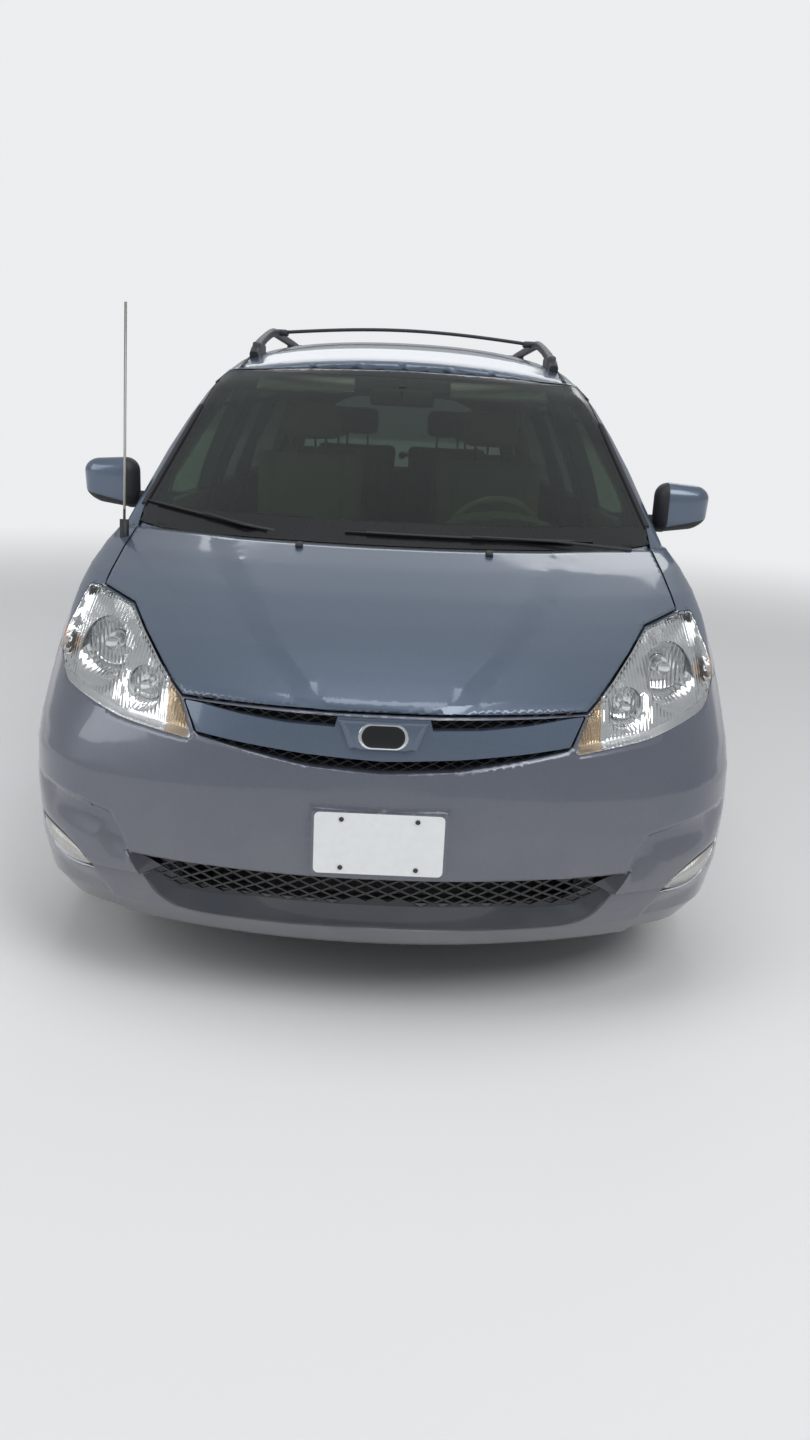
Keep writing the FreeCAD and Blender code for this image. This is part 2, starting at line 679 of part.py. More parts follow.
def build_front(body):
    """Hood, lamps, grille, bumper, fenders and cowl."""
    front = (NOSE_Y - 50, NOSE_Y + 400)
    keep("hood", biggest(body.wall(hood_space(-PANEL_GAP))))
    hood_room = hood_space(0.0)
    lamp = front_prism(LAMP, LAMP_RADII, NOSE_Y - 50, NOSE_Y + 850)
    lamp_in = front_prism(LAMP, LAMP_RADII, NOSE_Y - 50, NOSE_Y + 850, -SEAT)
    lens_in = front_prism(LAMP, LAMP_RADII, NOSE_Y - 50, NOSE_Y + 850, -2.0)
    keep_pair("headlamp_lenses", biggest(body.layer(0.0, 4.0, lens_in)))
    keep_pair("headlamp_housings", lamp_housing(body, lamp_in))

    tips = [V(x, NOSE_Y - 50, z) for x, z in FOG_TIPS]
    arcs = [Part.Arc(tips[0], V(FOG_LOW[0], NOSE_Y - 50, FOG_LOW[1]), tips[1]).toShape(),
            Part.Arc(tips[1], V(FOG_TOP[0], NOSE_Y - 50, FOG_TOP[1]), tips[0]).toShape()]
    leaf = prism(Part.Wire(arcs), V(0, 455, 0))
    leaf_in = prism(Part.Wire(arcs), V(0, 455 - SEAT, 0), -SEAT)
    keep_pair("fog_lamps", biggest(body.layer(3.0, 50.0, leaf_in)))

    grille_hole = front_prism(both_sides(GRILLE), 4, *front)
    grille_in = front_prism(both_sides(GRILLE), 4, *front, offset=-SEAT)
    bar = front_prism(both_sides(BAR), 3, *front)
    keep("grille_bar", biggest(body.layer(0.0, 28.0, bar)))
    intake = front_prism(both_sides(INTAKE), 6, *front)
    intake_in = front_prism(both_sides(INTAKE), 6, *front, offset=-SEAT)
    meshes = []
    for room, outline, hidden in ((grille_in, GRILLE, BAR), (intake_in, INTAKE, None)):
        plate = body.layer(28.0 + SEAT, 34.0, room)
        cover = both_sides(hidden) if hidden else None
        meshes.append(biggest(plate.cut(diamond_holes(both_sides(outline), cover, *front))))
    keep("grille_mesh", *meshes)

    split_y = FRONT_AXLE_Y - 368
    split = bumper_room(split_y)
    split_in = bumper_room(split_y - SEAT)
    arch = along_x(ARCH_RADIUS, -1200, 1200, FRONT_AXLE_Y, WHEEL_Z)
    cuts = [lamp, mirrored(lamp), leaf, mirrored(leaf), grille_hole, intake, lip_scoop(), arch,
            hood_room]
    bumper = cut_all(body.layer(0.0, WALL, split_in), cuts)
    pad = box(-158, 158, NOSE_Y - 4, NOSE_Y + 30, FRONT_PLATE_Z - 78, FRONT_PLATE_Z + 78)
    bumper = cut_all(bumper.fuse(pad), plate_holes(NOSE_Y - 10, NOSE_Y + 14, FRONT_PLATE_Z))
    keep("front_bumper", biggest(bumper))

    cowl_room = box(-HOOD_HALF_WIDTH + 10, HOOD_HALF_WIDTH - 10, FRONT_AXLE_Y - 200,
                    DOOR_FRONT_Y, 950, BELT_Z)
    keep("cowl_panel", biggest(body.wall(cowl_room).cut(hood_room)))
    room = box(300, 1200, FRONT_AXLE_Y - 460, DOOR_FRONT_Y - SEAT, SILL_Z - 60, BELT_Z)
    room = room.cut(box(0, HOOD_HALF_WIDTH - 10 + SEAT, FRONT_AXLE_Y - 200, DOOR_FRONT_Y,
                        950, BELT_Z + SEAT))
    fender = biggest(cut_all(body.layer(0.0, WALL, room), [split, lamp, hood_room, arch]))
    drum = along_x(ARCH_RADIUS + LINER, LINER_INNER_X, 1200, FRONT_AXLE_Y, WHEEL_Z)
    drum = drum.cut(arch).common(body.skin(WALL - 10))
    drum = drum.common(box(0, 1200, FRONT_AXLE_Y - 398, FRONT_AXLE_Y + 460, 330, 900))
    drum = drum.cut(split).fuse(drum.common(split).common(body.skin(WALL + SEAT)))
    keep_pair("fenders", biggest(fender.fuse(drum)))
    return hood_space(PANEL_GAP)


def build_shell(body, door_room, hood_clear, tail_rooms):
    """Roof, sides, pillars, windshield and quarter glass."""
    screen = front_prism(windshield_outline(), 30, NOSE_Y + 700, ROOF_FRONT_Y + 40)
    pane = front_prism(windshield_outline(), 30, NOSE_Y + 700, ROOF_FRONT_Y + 40, -GLASS_GAP)
    above = box(-FAR, FAR, -FAR, FAR, BELT_Z + SEAT, 2000)
    keep("windshield", biggest(body.glass.common(pane).common(above).cut(hood_clear)))
    quarter = side_prism(quarter_window_outline(), 40, 500, 1200)
    quarter_in = side_prism(quarter_window_outline(), 40, 500, 1200, -GLASS_GAP)
    keep_pair("fixed_side_glass", biggest(body.glass.common(quarter_in)))
    roof = box(-ROOF_HALF, ROOF_HALF, ROOF_FRONT_Y, TAILGATE_TOP_Y - PANEL_GAP / 2, 1600, 2000)
    roof_wall = body.wall(roof.cut(screen))
    for sign in (-1, 1):
        roof_wall = roof_wall.fuse(roof_lug(sign))
    keep("roof_panel", biggest(roof_wall))
    roof_out = box(-ROOF_HALF - SEAT, ROOF_HALF + SEAT, ROOF_FRONT_Y - SEAT, FAR, 1600, 2000)

    room = box(0, 1200, DOOR_FRONT_Y, FAR, SILL_Z - 60, 2000)
    room = room.fuse(box(0, 1200, NOSE_Y + 900, DOOR_FRONT_Y + 1, BELT_Z + SEAT, 2000))
    room = cut_all(room, [door_room, screen, roof_out, quarter] + tail_rooms)
    side = body.wall(room)
    posts = box(300, 1200, DOOR_FRONT_Y - 40, DOOR_FRONT_Y + 25, SILL_TOP_Z - 30, BELT_Z)
    for y in (DOOR_SPLIT_Y, DOOR_REAR_Y):
        posts = posts.fuse(box(300, 1200, y - 45, y + 45, SILL_TOP_Z - 30, BELT_Z))
    low = body.layer(WALL + REVEAL, WALL + FLANGE, posts)
    link = box(300, 1200, DOOR_REAR_Y + PANEL_GAP, DOOR_REAR_Y + 45, SILL_TOP_Z - 30, BELT_Z)
    low_link = body.layer(WALL - 5, WALL + FLANGE - 1, link)
    tops = box(0, 1200, DOOR_SPLIT_Y - 45, DOOR_SPLIT_Y + 45, BELT_Z - 6, 1700)
    tops = tops.fuse(box(0, 1200, DOOR_FRONT_Y - 40, DOOR_FRONT_Y + 25, BELT_Z - 6, 1180))
    high = body.house(WALL + REVEAL).common(tops).cut(body.house(WALL + FLANGE))
    links = box(ROOF_HALF + 10, 1200, DOOR_SPLIT_Y - 44, DOOR_SPLIT_Y + 44,
                DOOR_TOP_Z + PANEL_GAP, 1700)
    links = links.fuse(box(0, 1200, DOOR_FRONT_Y - 39, DOOR_FRONT_Y - PANEL_GAP,
                           BELT_Z + SEAT, 1179))
    high_link = body.house(WALL - 5).common(links).cut(body.house(WALL + FLANGE - 1))
    sill = body.skin(0.0).common(box(SILL_INNER_X, 1200, DOOR_FRONT_Y, DOOR_REAR_Y + 20,
                                     SILL_Z - 60, SILL_TOP_Z))
    drum = along_x(ARCH_RADIUS + LINER, REAR_LINER_INNER_X, 1200, REAR_AXLE_Y, WHEEL_Z)
    hollow = along_x(ARCH_RADIUS, REAR_LINER_INNER_X + LINER, 1200, REAR_AXLE_Y, WHEEL_Z)
    drum = drum.cut(hollow).common(body.skin(WALL - 10))
    drum = drum.common(box(0, 1200, REAR_AXLE_Y - 400, REAR_AXLE_Y + 400, WHEEL_Z + 70, 900))
    behind = tail_rooms[2]
    drum = drum.cut(behind).fuse(drum.common(behind).common(body.skin(WALL + SEAT)))
    side = biggest(side.fuse([low, low_link, high, high_link, sill, drum]))
    split_y = DOOR_REAR_Y + 46
    keep_pair("side_frames", biggest(side.common(box(0, 1200, -FAR, split_y, 0, 2000))))
    keep_pair("quarter_panels", biggest(side.common(box(0, 1200, split_y, FAR, 0, 2000))))


def build_floor(body):
    """Floor with its firewall, rails and back panel."""
    cabin = body.skin(WALL + REVEAL)
    floor = box(-FLOOR_HALF, FLOOR_HALF, FIREWALL_Y, TAIL_Y - 80, SILL_TOP_Z, FLOOR_Z)
    floor = floor.common(cabin)
    arch = along_x(ARCH_RADIUS + LINER + SEAT, REAR_LINER_INNER_X - SEAT, 1200, REAR_AXLE_Y,
                   WHEEL_Z)
    floor = floor.cut(arch).cut(mirrored(arch))
    wall = box(-HOOD_HALF_WIDTH + 15, HOOD_HALF_WIDTH - 15, FIREWALL_Y,
               FIREWALL_Y + FIREWALL_THICKNESS, FLOOR_Z - 1, 1010)
    floor = floor.fuse(cabin.common(wall))
    for side in (-1, 1):
        x0 = side * RAIL_X - (RAIL_WIDTH if side < 0 else 0)
        floor = floor.fuse(box(x0, x0 + RAIL_WIDTH, RAIL_FRONT_Y, REAR_AXLE_Y - 420,
                               SILL_TOP_Z - RAIL_HEIGHT, SILL_TOP_Z))
    room = box(-620, 620, TAIL_Y - 330, TAIL_Y, SILL_TOP_Z, TAILGATE_BOTTOM_Z + 35)
    back = body.layer(WALL + REVEAL, WALL + 40, room)
    keep("floor_pan", biggest(floor.fuse(back)))


def revolved(points, y, z, x0, sign):
    """A ring about the wheel's axis from points (outboard, radius)."""
    corners = [V(x0 + sign * a, y, z + r) for a, r in points]
    face = Part.Face(Part.makePolygon(corners + corners[:1]))
    return face.revolve(V(0, y, z), V(1, 0, 0), 360)


def wheel(x0, y, sign):
    """Rim with its hub and brake disc, and the tyre round it."""
    lip = RIM_DIAMETER / 2 + 10
    seat = RIM_DIAMETER / 2
    half = RIM_WIDTH / 2
    well = seat - 15
    rim = revolved([(-half, well), (-half, lip), (-half + 10, seat), (half - 10, seat),
                    (half, lip), (half, well)], y, WHEEL_Z, x0, sign)
    hub = HUB_BORE / 2
    disc = revolved([(-48, hub), (-48, 145), (-24, 145), (-24, 78), (30, 78), (42, well + 2),
                     (62, well + 2), (56, hub), (56, 0), (46, 0), (46, hub)], y, WHEEL_Z, x0,
                    sign)
    solid = rim.fuse(disc)
    corners = [(86, -0.24), (180, -0.30), (180, 0.30), (86, 0.24)]
    for k in range(SPOKES):
        turn = 2 * math.pi * (k + 0.5) / SPOKES
        points = [(y + r * math.sin(turn + a), WHEEL_Z + r * math.cos(turn + a))
                  for r, a in corners]
        solid = solid.cut(side_prism(points, [10, 14, 14, 10], x0 + sign * 18, x0 + sign * 78))
    outer = TYRE_OD / 2
    width = TYRE_WIDTH / 2
    corners = [(-half + 10, seat), (-width, (outer + lip) / 2), (-width + 12, outer - 26),
               (-width + 50, outer), (width - 50, outer), (width - 12, outer - 26),
               (width, (outer + lip) / 2), (half - 10, seat)]
    tyre = revolved(corners, y, WHEEL_Z, x0, sign)
    return solid, tyre


def build_wheels():
    for name, half_track, y in (("front", HALF_TRACK_FRONT, FRONT_AXLE_Y),
                                ("rear", HALF_TRACK_REAR, REAR_AXLE_Y)):
        rim, tyre = wheel(half_track, y, 1)
        keep("wheel_%s_left" % name, rim)
        keep("tyre_%s_left" % name, tyre)
        keep("wheel_%s_right" % name, mirrored(rim))
        keep("tyre_%s_right" % name, mirrored(tyre))


def king_point(z):
    return V(KING_X - (z - WHEEL_Z) * math.tan(KING_LEAN), FRONT_AXLE_Y, z)


def build_chassis(body):
    """Knuckles, subframe, rear axle, engine, radiator, exhaust and tank."""
    spindle = along_x(HUB_BORE / 2 - SHAFT_CLEARANCE, KING_X - 20, HALF_TRACK_FRONT + 40,
                      FRONT_AXLE_Y, WHEEL_Z)
    carrier = box(KING_X - 35, KING_X + 30, FRONT_AXLE_Y - 55, FRONT_AXLE_Y + 55,
                  WHEEL_Z - 80, WHEEL_Z + 80)
    ball = king_point(222)
    top = king_point(WHEEL_Z + ARCH_RADIUS - 2)
    lean = (top - ball).normalize()
    leg = Part.makeCylinder(18, (top - ball).Length - 20, ball, lean)
    damper = Part.makeCylinder(27, 250, king_point(WHEEL_Z + 90), lean)
    knuckle = biggest(spindle.fuse(carrier).fuse(leg).fuse(damper))
    keep("knuckle_left", knuckle)
    keep("knuckle_right", mirrored(knuckle))

    low = SILL_TOP_Z - RAIL_HEIGHT
    beam = box(-RAIL_X - RAIL_WIDTH, RAIL_X + RAIL_WIDTH, RAIL_FRONT_Y - 34, RAIL_FRONT_Y,
               low, low + 30)
    cross = box(-560, 560, FRONT_AXLE_Y - 110, FRONT_AXLE_Y + 110, low - 40, low)
    seats = box(-RAIL_X + SEAT, RAIL_X - SEAT, FRONT_AXLE_Y - 110, FRONT_AXLE_Y + 110, low,
                low + 70)
    frame = cross.fuse(seats)
    ball_x = KING_X + 26
    for sign in (-1, 1):
        arm = plan_prism([(sign * 540, FRONT_AXLE_Y - 110), (sign * 540, FRONT_AXLE_Y + 110),
                          (sign * ball_x, FRONT_AXLE_Y + 14), (sign * ball_x, FRONT_AXLE_Y - 14)],
                         [10, 10, 12, 12], low - 35, low)
        frame = frame.fuse(arm)
    keep("front_subframe", biggest(frame))
    keep("radiator", beam.fuse(box(-410, 410, RAIL_FRONT_Y - 32, RAIL_FRONT_Y - 2, low + 29,
                                   770)))
    keep("engine_block", box(-330, 300, FRONT_AXLE_Y - 380, FRONT_AXLE_Y + 60, low + 70, 800))

    arm_x = 610.0
    beam_y = REAR_AXLE_Y - 160
    rear = box(-arm_x, arm_x, beam_y - 45, beam_y + 45, 235, 305)
    for sign in (-1, 1):
        x0 = arm_x - 5 if sign > 0 else -arm_x - 45
        arm = box(x0, x0 + 50, REAR_AXLE_Y - 420, REAR_AXLE_Y + 60, 250, SILL_TOP_Z)
        knob = box(x0, x0 + 50, REAR_AXLE_Y - 60, REAR_AXLE_Y + 60, 250, 395)
        stub = along_x(HUB_BORE / 2 - SHAFT_CLEARANCE, arm_x, HALF_TRACK_REAR + 40, REAR_AXLE_Y,
                       WHEEL_Z)
        carrier = along_x(60, arm_x, HALF_TRACK_REAR - 90, REAR_AXLE_Y, WHEEL_Z)
        if sign < 0:
            stub = mirrored(stub)
            carrier = mirrored(carrier)
        damper = Part.makeCylinder(24, ARCH_RADIUS + WHEEL_Z - 390 - SEAT - 3,
                                   V(x0 + 25, REAR_AXLE_Y, 390), V(0, 0, 1))
        for piece in (arm, knob, stub, carrier, damper):
            rear = rear.fuse(piece)
    keep("rear_axle", biggest(rear))

    pipe_x = 300.0
    pipe_z = SILL_TOP_Z - 45
    keep("exhaust", exhaust(pipe_x, pipe_z))
    tank = front_prism([(-400, SILL_TOP_Z), (200, SILL_TOP_Z), (200, SILL_TOP_Z - 120),
                        (-400, SILL_TOP_Z - 120)], [0, 0, 40, 40], REAR_AXLE_Y - 1050,
                       REAR_AXLE_Y - 480)
    keep("fuel_tank", tank)


def exhaust(x, z):
    """Pipe under the floor, its silencer and its tip."""
    start = FRONT_AXLE_Y + 160
    silencer_y = REAR_AXLE_Y + 470
    path = Part.Wire([Part.makeLine(V(x, start, z), V(x, REAR_AXLE_Y - 420, z)),
                      Part.makeLine(V(x, REAR_AXLE_Y - 420, z),
                                    V(x, REAR_AXLE_Y - 330, z - PIPE_DROP)),
                      Part.makeLine(V(x, REAR_AXLE_Y - 330, z - PIPE_DROP),
                                    V(x, REAR_AXLE_Y + 10, z - PIPE_DROP)),
                      Part.makeLine(V(x, REAR_AXLE_Y + 10, z - PIPE_DROP),
                                    V(x, REAR_AXLE_Y + 100, z)),
                      Part.makeLine(V(x, REAR_AXLE_Y + 100, z), V(x, silencer_y + 20, z))])
    ring = Part.Wire([Part.makeCircle(PIPE_RADIUS, V(x, start, z), V(0, 1, 0))])
    pipe = path.makePipeShell([ring], True, False, 1)
    silencer = box(x - 120, x + 380, silencer_y, silencer_y + 210, TIP_Z - 35, SILL_TOP_Z)
    silencer = silencer.makeFillet(40, [e for e in silencer.Edges if e.BoundBox.XLength > 300
                                        and e.BoundBox.ZMax < SILL_TOP_Z - 1])
    tip = Part.makeCylinder(TIP_RADIUS, TAIL_Y - 40 - silencer_y - 200,
                            V(TIP_X, silencer_y + 200, TIP_Z), V(0, 1, 0))
    return biggest(pipe.fuse(silencer).fuse(tip))


# Seat rows: name, centre x of each seat, back of the cushion, width
Row = namedtuple("Row", "name centres back_y width")
ROWS = [Row("front_seats", (-390, 390), -130, 520), Row("middle_seats", (-390, 390), 790, 520),
        Row("rear_seats", (-268, 268), 1620, 520)]
SEAT_DEPTH = 530.0
SEAT_TOP = 330.0
BACK_HEIGHT = 620.0


def seat(centre_x, back_y, width):
    """One seat: base, cushion, back and head restraint."""
    half = width / 2
    front = back_y - SEAT_DEPTH
    top = FLOOR_Z + SEAT_TOP
    base = box(centre_x - half + 70, centre_x + half - 70, front + 60, back_y - 20, FLOOR_Z,
               top - 130)
    cushion = side_prism([(front, top - 135), (back_y, top - 135), (back_y, top - 10),
                          (front, top)], [40, 20, 20, 50], centre_x - half, centre_x + half)
    outline = [(back_y - 90, top - 40), (back_y + 60, top - 60),
               (back_y + 190, top + BACK_HEIGHT - 20), (back_y + 75, top + BACK_HEIGHT)]
    back = side_prism(outline, 40, centre_x - half + 10, centre_x + half - 10)
    rest = side_prism([(back_y + 95, top + BACK_HEIGHT + 25),
                       (back_y + 190, top + BACK_HEIGHT + 20),
                       (back_y + 215, top + BACK_HEIGHT + 185),
                       (back_y + 125, top + BACK_HEIGHT + 190)], 30, centre_x - 130,
                      centre_x + 130)
    solid = base.fuse(cushion).fuse(back).fuse(rest)
    for x in (centre_x - 60, centre_x + 60):
        solid = solid.fuse(Part.makeCylinder(8, 120, V(x, back_y + 135, top + BACK_HEIGHT - 40),
                                             V(0, 0, 1)))
    return biggest(solid)


def build_cabin(body):
    """Dashboard, steering wheel and seats."""
    cabin = body.skin(WALL + 4)
    y0 = FIREWALL_Y + FIREWALL_THICKNESS
    outline = [(y0, 640), (y0 + 190, 640), (y0 + 270, 800), (y0 + 330, 980), (y0 + 290, 1060),
               (y0 + 150, 1085), (y0 - 460, 1085), (y0 - 460, 1058), (y0, 1058)]
    dash = side_prism(outline, [0, 20, 40, 40, 45, 20, 0, 0, 0], -780, 780).common(cabin)
    console = side_prism([(y0, FLOOR_Z), (y0 + 260, FLOOR_Z), (y0 + 330, 700), (y0, 700)],
                         [0, 20, 60, 0], -140, 140)
    dash = biggest(dash.fuse(console))
    tilt = math.radians(27)
    centre = V(380, y0 + 470, 1015)
    axis = V(0, -math.cos(tilt), -math.sin(tilt))
    turn = FreeCAD.Placement(centre, FreeCAD.Rotation(V(0, 0, 1), axis))
    column = Part.makeCylinder(32, 266, centre + axis * 58.3, axis)
    steering = Part.makeCylinder(62, 50, V(0, 0, 8))
    ring = [V(178 + 15 * math.cos(k * math.pi / 4), 0, 15 * math.sin(k * math.pi / 4))
            for k in range(8)]
    ring = Part.Face(Part.makePolygon(ring + ring[:1]))
    steering = steering.fuse(ring.revolve(V(0, 0, 0), V(0, 0, 1), 360))
    for angle in (90, 210, 330):
        spoke = box(0, 172, -15, 15, 8, 16)
        spoke.rotate(V(0, 0, 0), V(0, 0, 1), angle)
        steering = steering.fuse(spoke)
    steering.Placement = turn
    keep("dashboard", biggest(dash.fuse(column)))
    keep("steering_wheel", biggest(steering))
    for row in ROWS:
        keep(row.name, *[seat(x, row.back_y, row.width) for x in row.centres])


def build_trim(body):
    """Roof rails, mirrors, wipers and antenna."""
    rail_x = 560.0
    start = NOSE_Y + 2130
    end = TAILGATE_TOP_Y - 110
    high = body.house(-58.0)
    strip = box(rail_x - 14, rail_x + 14, start, end, 1600, 2000)
    solid = high.common(strip).cut(body.house(-30.0))
    for y in (start, (start + end) / 2 - 65, end - 130):
        foot = side_prism([(y - 30, 1560), (y + 160, 1560), (y + 120, 1800), (y + 10, 1800)], 0,
                          rail_x - 18, rail_x + 18)
        solid = solid.fuse(high.common(foot).cut(body.outer))
    both = biggest(solid)
    both = both.fuse(mirrored(both))
    for y, top in ((start + 207, 1774.0), (start + 1122, 1775.0)):
        both = both.fuse(box(-rail_x, rail_x, y - 20, y + 20, top - 22, top))
    keep("roof_rails", biggest(both))

    face = front_prism([(900, 1126), (1055, 1112), (1085, 1150), (1080, 1262), (1040, 1290),
                        (900, 1276)], [16, 40, 34, 40, 40, 16], DOOR_FRONT_Y, DOOR_FRONT_Y + 110)
    plan = plan_prism([(900, DOOR_FRONT_Y + 104), (1086, DOOR_FRONT_Y + 92),
                       (1086, DOOR_FRONT_Y + 58), (1020, DOOR_FRONT_Y + 2),
                       (900, DOOR_FRONT_Y + 20)], [10, 8, 40, 60, 30], 1090, 1310)
    arm = box(820, 930, DOOR_FRONT_Y + 50, DOOR_FRONT_Y + 98, 1114, 1165)
    mirror = biggest(face.common(plan).fuse(arm).cut(body.outer))
    keep("mirror_left", mirror)
    keep("mirror_right", mirrored(mirror))

    base = V(-835, FRONT_AXLE_Y + 60, 1000)
    mast = Part.makeCylinder(4, 760, base, V(0.0, 0.12, 1))
    foot = Part.makeCylinder(14, 120, base, V(0, 0.12, 1))
    keep("antenna", biggest(mast.fuse(foot).cut(body.outer)))


def main():
    os.makedirs("parts", exist_ok=True)
    body = Body()
    door_room = build_doors(body)
    tail_rooms = build_tail(body)
    hood_clear = build_front(body)
    build_shell(body, door_room, hood_clear, tail_rooms)
    build_floor(body)
    build_wheels()
    build_chassis(body)
    build_cabin(body)
    build_trim(body)
    for name, shape in PARTS.items():
        shape.exportStep("parts/%s.step" % name)


main()
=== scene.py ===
"""A family minivan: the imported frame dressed, lit and seen from the photograph's place."""

from __future__ import annotations

import json
import logging
import math
from collections.abc import Callable
from dataclasses import dataclass, field
from enum import Enum
from functools import partial

import bmesh
import bpy
from mathutils import Matrix, Vector
from mathutils.bvhtree import BVHTree

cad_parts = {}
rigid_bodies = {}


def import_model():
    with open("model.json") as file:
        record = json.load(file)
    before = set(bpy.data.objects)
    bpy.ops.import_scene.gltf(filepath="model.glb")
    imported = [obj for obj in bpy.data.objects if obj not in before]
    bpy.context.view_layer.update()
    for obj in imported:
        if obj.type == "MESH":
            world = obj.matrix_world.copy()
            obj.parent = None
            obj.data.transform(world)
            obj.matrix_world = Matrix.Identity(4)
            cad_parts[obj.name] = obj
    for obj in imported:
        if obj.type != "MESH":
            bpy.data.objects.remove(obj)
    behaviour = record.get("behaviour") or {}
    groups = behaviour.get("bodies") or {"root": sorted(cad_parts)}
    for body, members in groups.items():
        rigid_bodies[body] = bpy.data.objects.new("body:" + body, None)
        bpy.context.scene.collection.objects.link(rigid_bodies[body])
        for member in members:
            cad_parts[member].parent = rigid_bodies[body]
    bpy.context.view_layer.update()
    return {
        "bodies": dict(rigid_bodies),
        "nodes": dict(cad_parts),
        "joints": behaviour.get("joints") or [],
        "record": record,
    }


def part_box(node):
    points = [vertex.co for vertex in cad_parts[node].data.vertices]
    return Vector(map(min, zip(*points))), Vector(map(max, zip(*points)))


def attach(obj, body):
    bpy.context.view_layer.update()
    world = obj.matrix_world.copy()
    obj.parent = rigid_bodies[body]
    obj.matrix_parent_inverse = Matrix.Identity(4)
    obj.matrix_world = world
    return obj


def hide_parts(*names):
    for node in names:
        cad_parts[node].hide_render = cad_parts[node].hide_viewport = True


LOG = logging.getLogger("minivan")
Shape = bmesh.types.BMesh
Socket = bpy.types.NodeSocket
Path = list[tuple[Vector, Vector]]
Outline = list[tuple[float, float]]
Corners = tuple[tuple[float, float], ...]
Place3 = tuple[float, float, float]
FRONT_AXLE_Y = -1.607
REAR_AXLE_Y = 1.423
WHEEL_Z = 0.3395
SWEEP_STEPS = 12
FLAT_ANGLE = math.radians(0.4)
SPLIT_ROUNDS = 8
SHORT_SHARE = 0.12
SMOOTHING = 0.5
MERGE = 0.00002
TINY = 0.00001
CROWN_RISE = 0.028
CROWN_HALF = 0.62
CROWN_FRONT = (-0.70, 0.60)
CROWN_REAR = (2.20, -0.80)


class Side(Enum):
    """The vehicle's two sides, with the sign of X on each."""

    LEFT = 1
    RIGHT = -1


# Effects shared by several finishes


class NodeNet:
    """A shader node group in the making, fed by Object coordinates."""

    def __init__(self, name: str, inputs: dict[str, float], output: str) -> None:
        """Start the group.

        Args:
            name: The group's name.
            inputs: Name and default of each number input.
            output: Name of its only output, a number.
        """
        self.tree = bpy.data.node_groups.new(name, "ShaderNodeTree")
        for label, value in inputs.items():
            socket = self.tree.interface.new_socket(label, in_out="INPUT",
                                                    socket_type="NodeSocketFloat")
            socket.default_value = value
        self.tree.interface.new_socket(output, in_out="OUTPUT", socket_type="NodeSocketFloat")
        self.entry = self.tree.nodes.new("NodeGroupInput")
        self.leave = self.tree.nodes.new("NodeGroupOutput")
        self.place = self.add("TexCoord").outputs["Object"]

    def add(self, kind: str, inputs: dict | None = None, **settings: object) -> bpy.types.Node:
        """Add a node.

        Args:
            kind: Its type, without the word ShaderNode.
            inputs: A socket or a plain value for each input in use.
            settings: Its other settings.

        Returns:
            The node.
        """
        node = self.tree.nodes.new("ShaderNode" + kind)
        for label, value in settings.items():
            setattr(node, label, value)
        for label, value in (inputs or {}).items():
            if isinstance(value, Socket):
                self.tree.links.new(value, node.inputs[label])
            else:
                node.inputs[label].default_value = value
        return node

    def given(self, label: str) -> Socket:
        """The group's input of that name."""
        return self.entry.outputs[label]

    def calc(self, operation: str, first: Socket | float,
             second: Socket, clamp: bool = False) -> Socket:
        """The result of a sum on two numbers, kept between 0 and 1 if clamp is set."""
        node = self.add("Math", {0: first, 1: second}, operation=operation, use_clamp=clamp)
        return node.outputs["Value"]

    def done(self, result: Socket) -> bpy.types.NodeTree:
        """Wire a result to the group's output and hand out the group."""
        self.tree.links.new(result, self.leave.inputs[0])
        return self.tree


def grain_group() -> bpy.types.NodeTree:
    """Fine height noise, for moulded and cast surfaces."""
    net = NodeNet("Grain", {"Scale": 400.0, "Detail": 2.0}, "Height")
    noise = net.add("TexNoise", {"Vector": net.place, "Scale": net.given("Scale"),
                                 "Detail": net.given("Detail")})
    return net.done(noise.outputs["Fac"])


def dust_group() -> bpy.types.NodeTree:
    """A mask of road film that grows towards the ground, broken up by noise."""
    net = NodeNet("Dust", {"Top": 0.6, "Amount": 0.3}, "Mask")
    split = net.add("SeparateXYZ", {"Vector": net.place})
    noise = net.add("TexNoise", {"Vector": net.place, "Scale": 7.0, "Detail": 5.0})
    ratio = net.calc("DIVIDE", split.outputs["Z"], net.given("Top"))
    fall = net.calc("SUBTRACT", 1.0, ratio, clamp=True)
    broken = net.calc("MULTIPLY", fall, noise.outputs["Fac"])
    return net.done(net.calc("MULTIPLY", broken, net.given("Amount"), clamp=True))


def flake_group() -> bpy.types.NodeTree:
    """Small metallic flakes: a cell pattern whose value varies from flake to flake."""
    net = NodeNet("Flake", {"Scale": 900.0}, "Fac")
    cells = net.add("TexVoronoi", {"Vector": net.place, "Scale": net.given("Scale")})
    tone = net.add("SeparateColor", {"Color": cells.outputs["Color"]})
    return net.done(tone.outputs["Red"])


def bands(net: NodeNet, direction: str, distortion: float) -> Socket:
    """Soft bands across one axis, at the group's own scale."""
    wave = net.add("TexWave", {"Vector": net.place, "Scale": net.given("Scale"),
                               "Distortion": distortion}, bands_direction=direction)
    return wave.outputs["Fac"]


def weave_group() -> bpy.types.NodeTree:
    """Two crossed bands that read as woven cloth."""
    net = NodeNet("Weave", {"Scale": 420.0}, "Height")
    return net.done(net.calc("MULTIPLY", bands(net, "X", 0.6), bands(net, "Z", 0.6)))


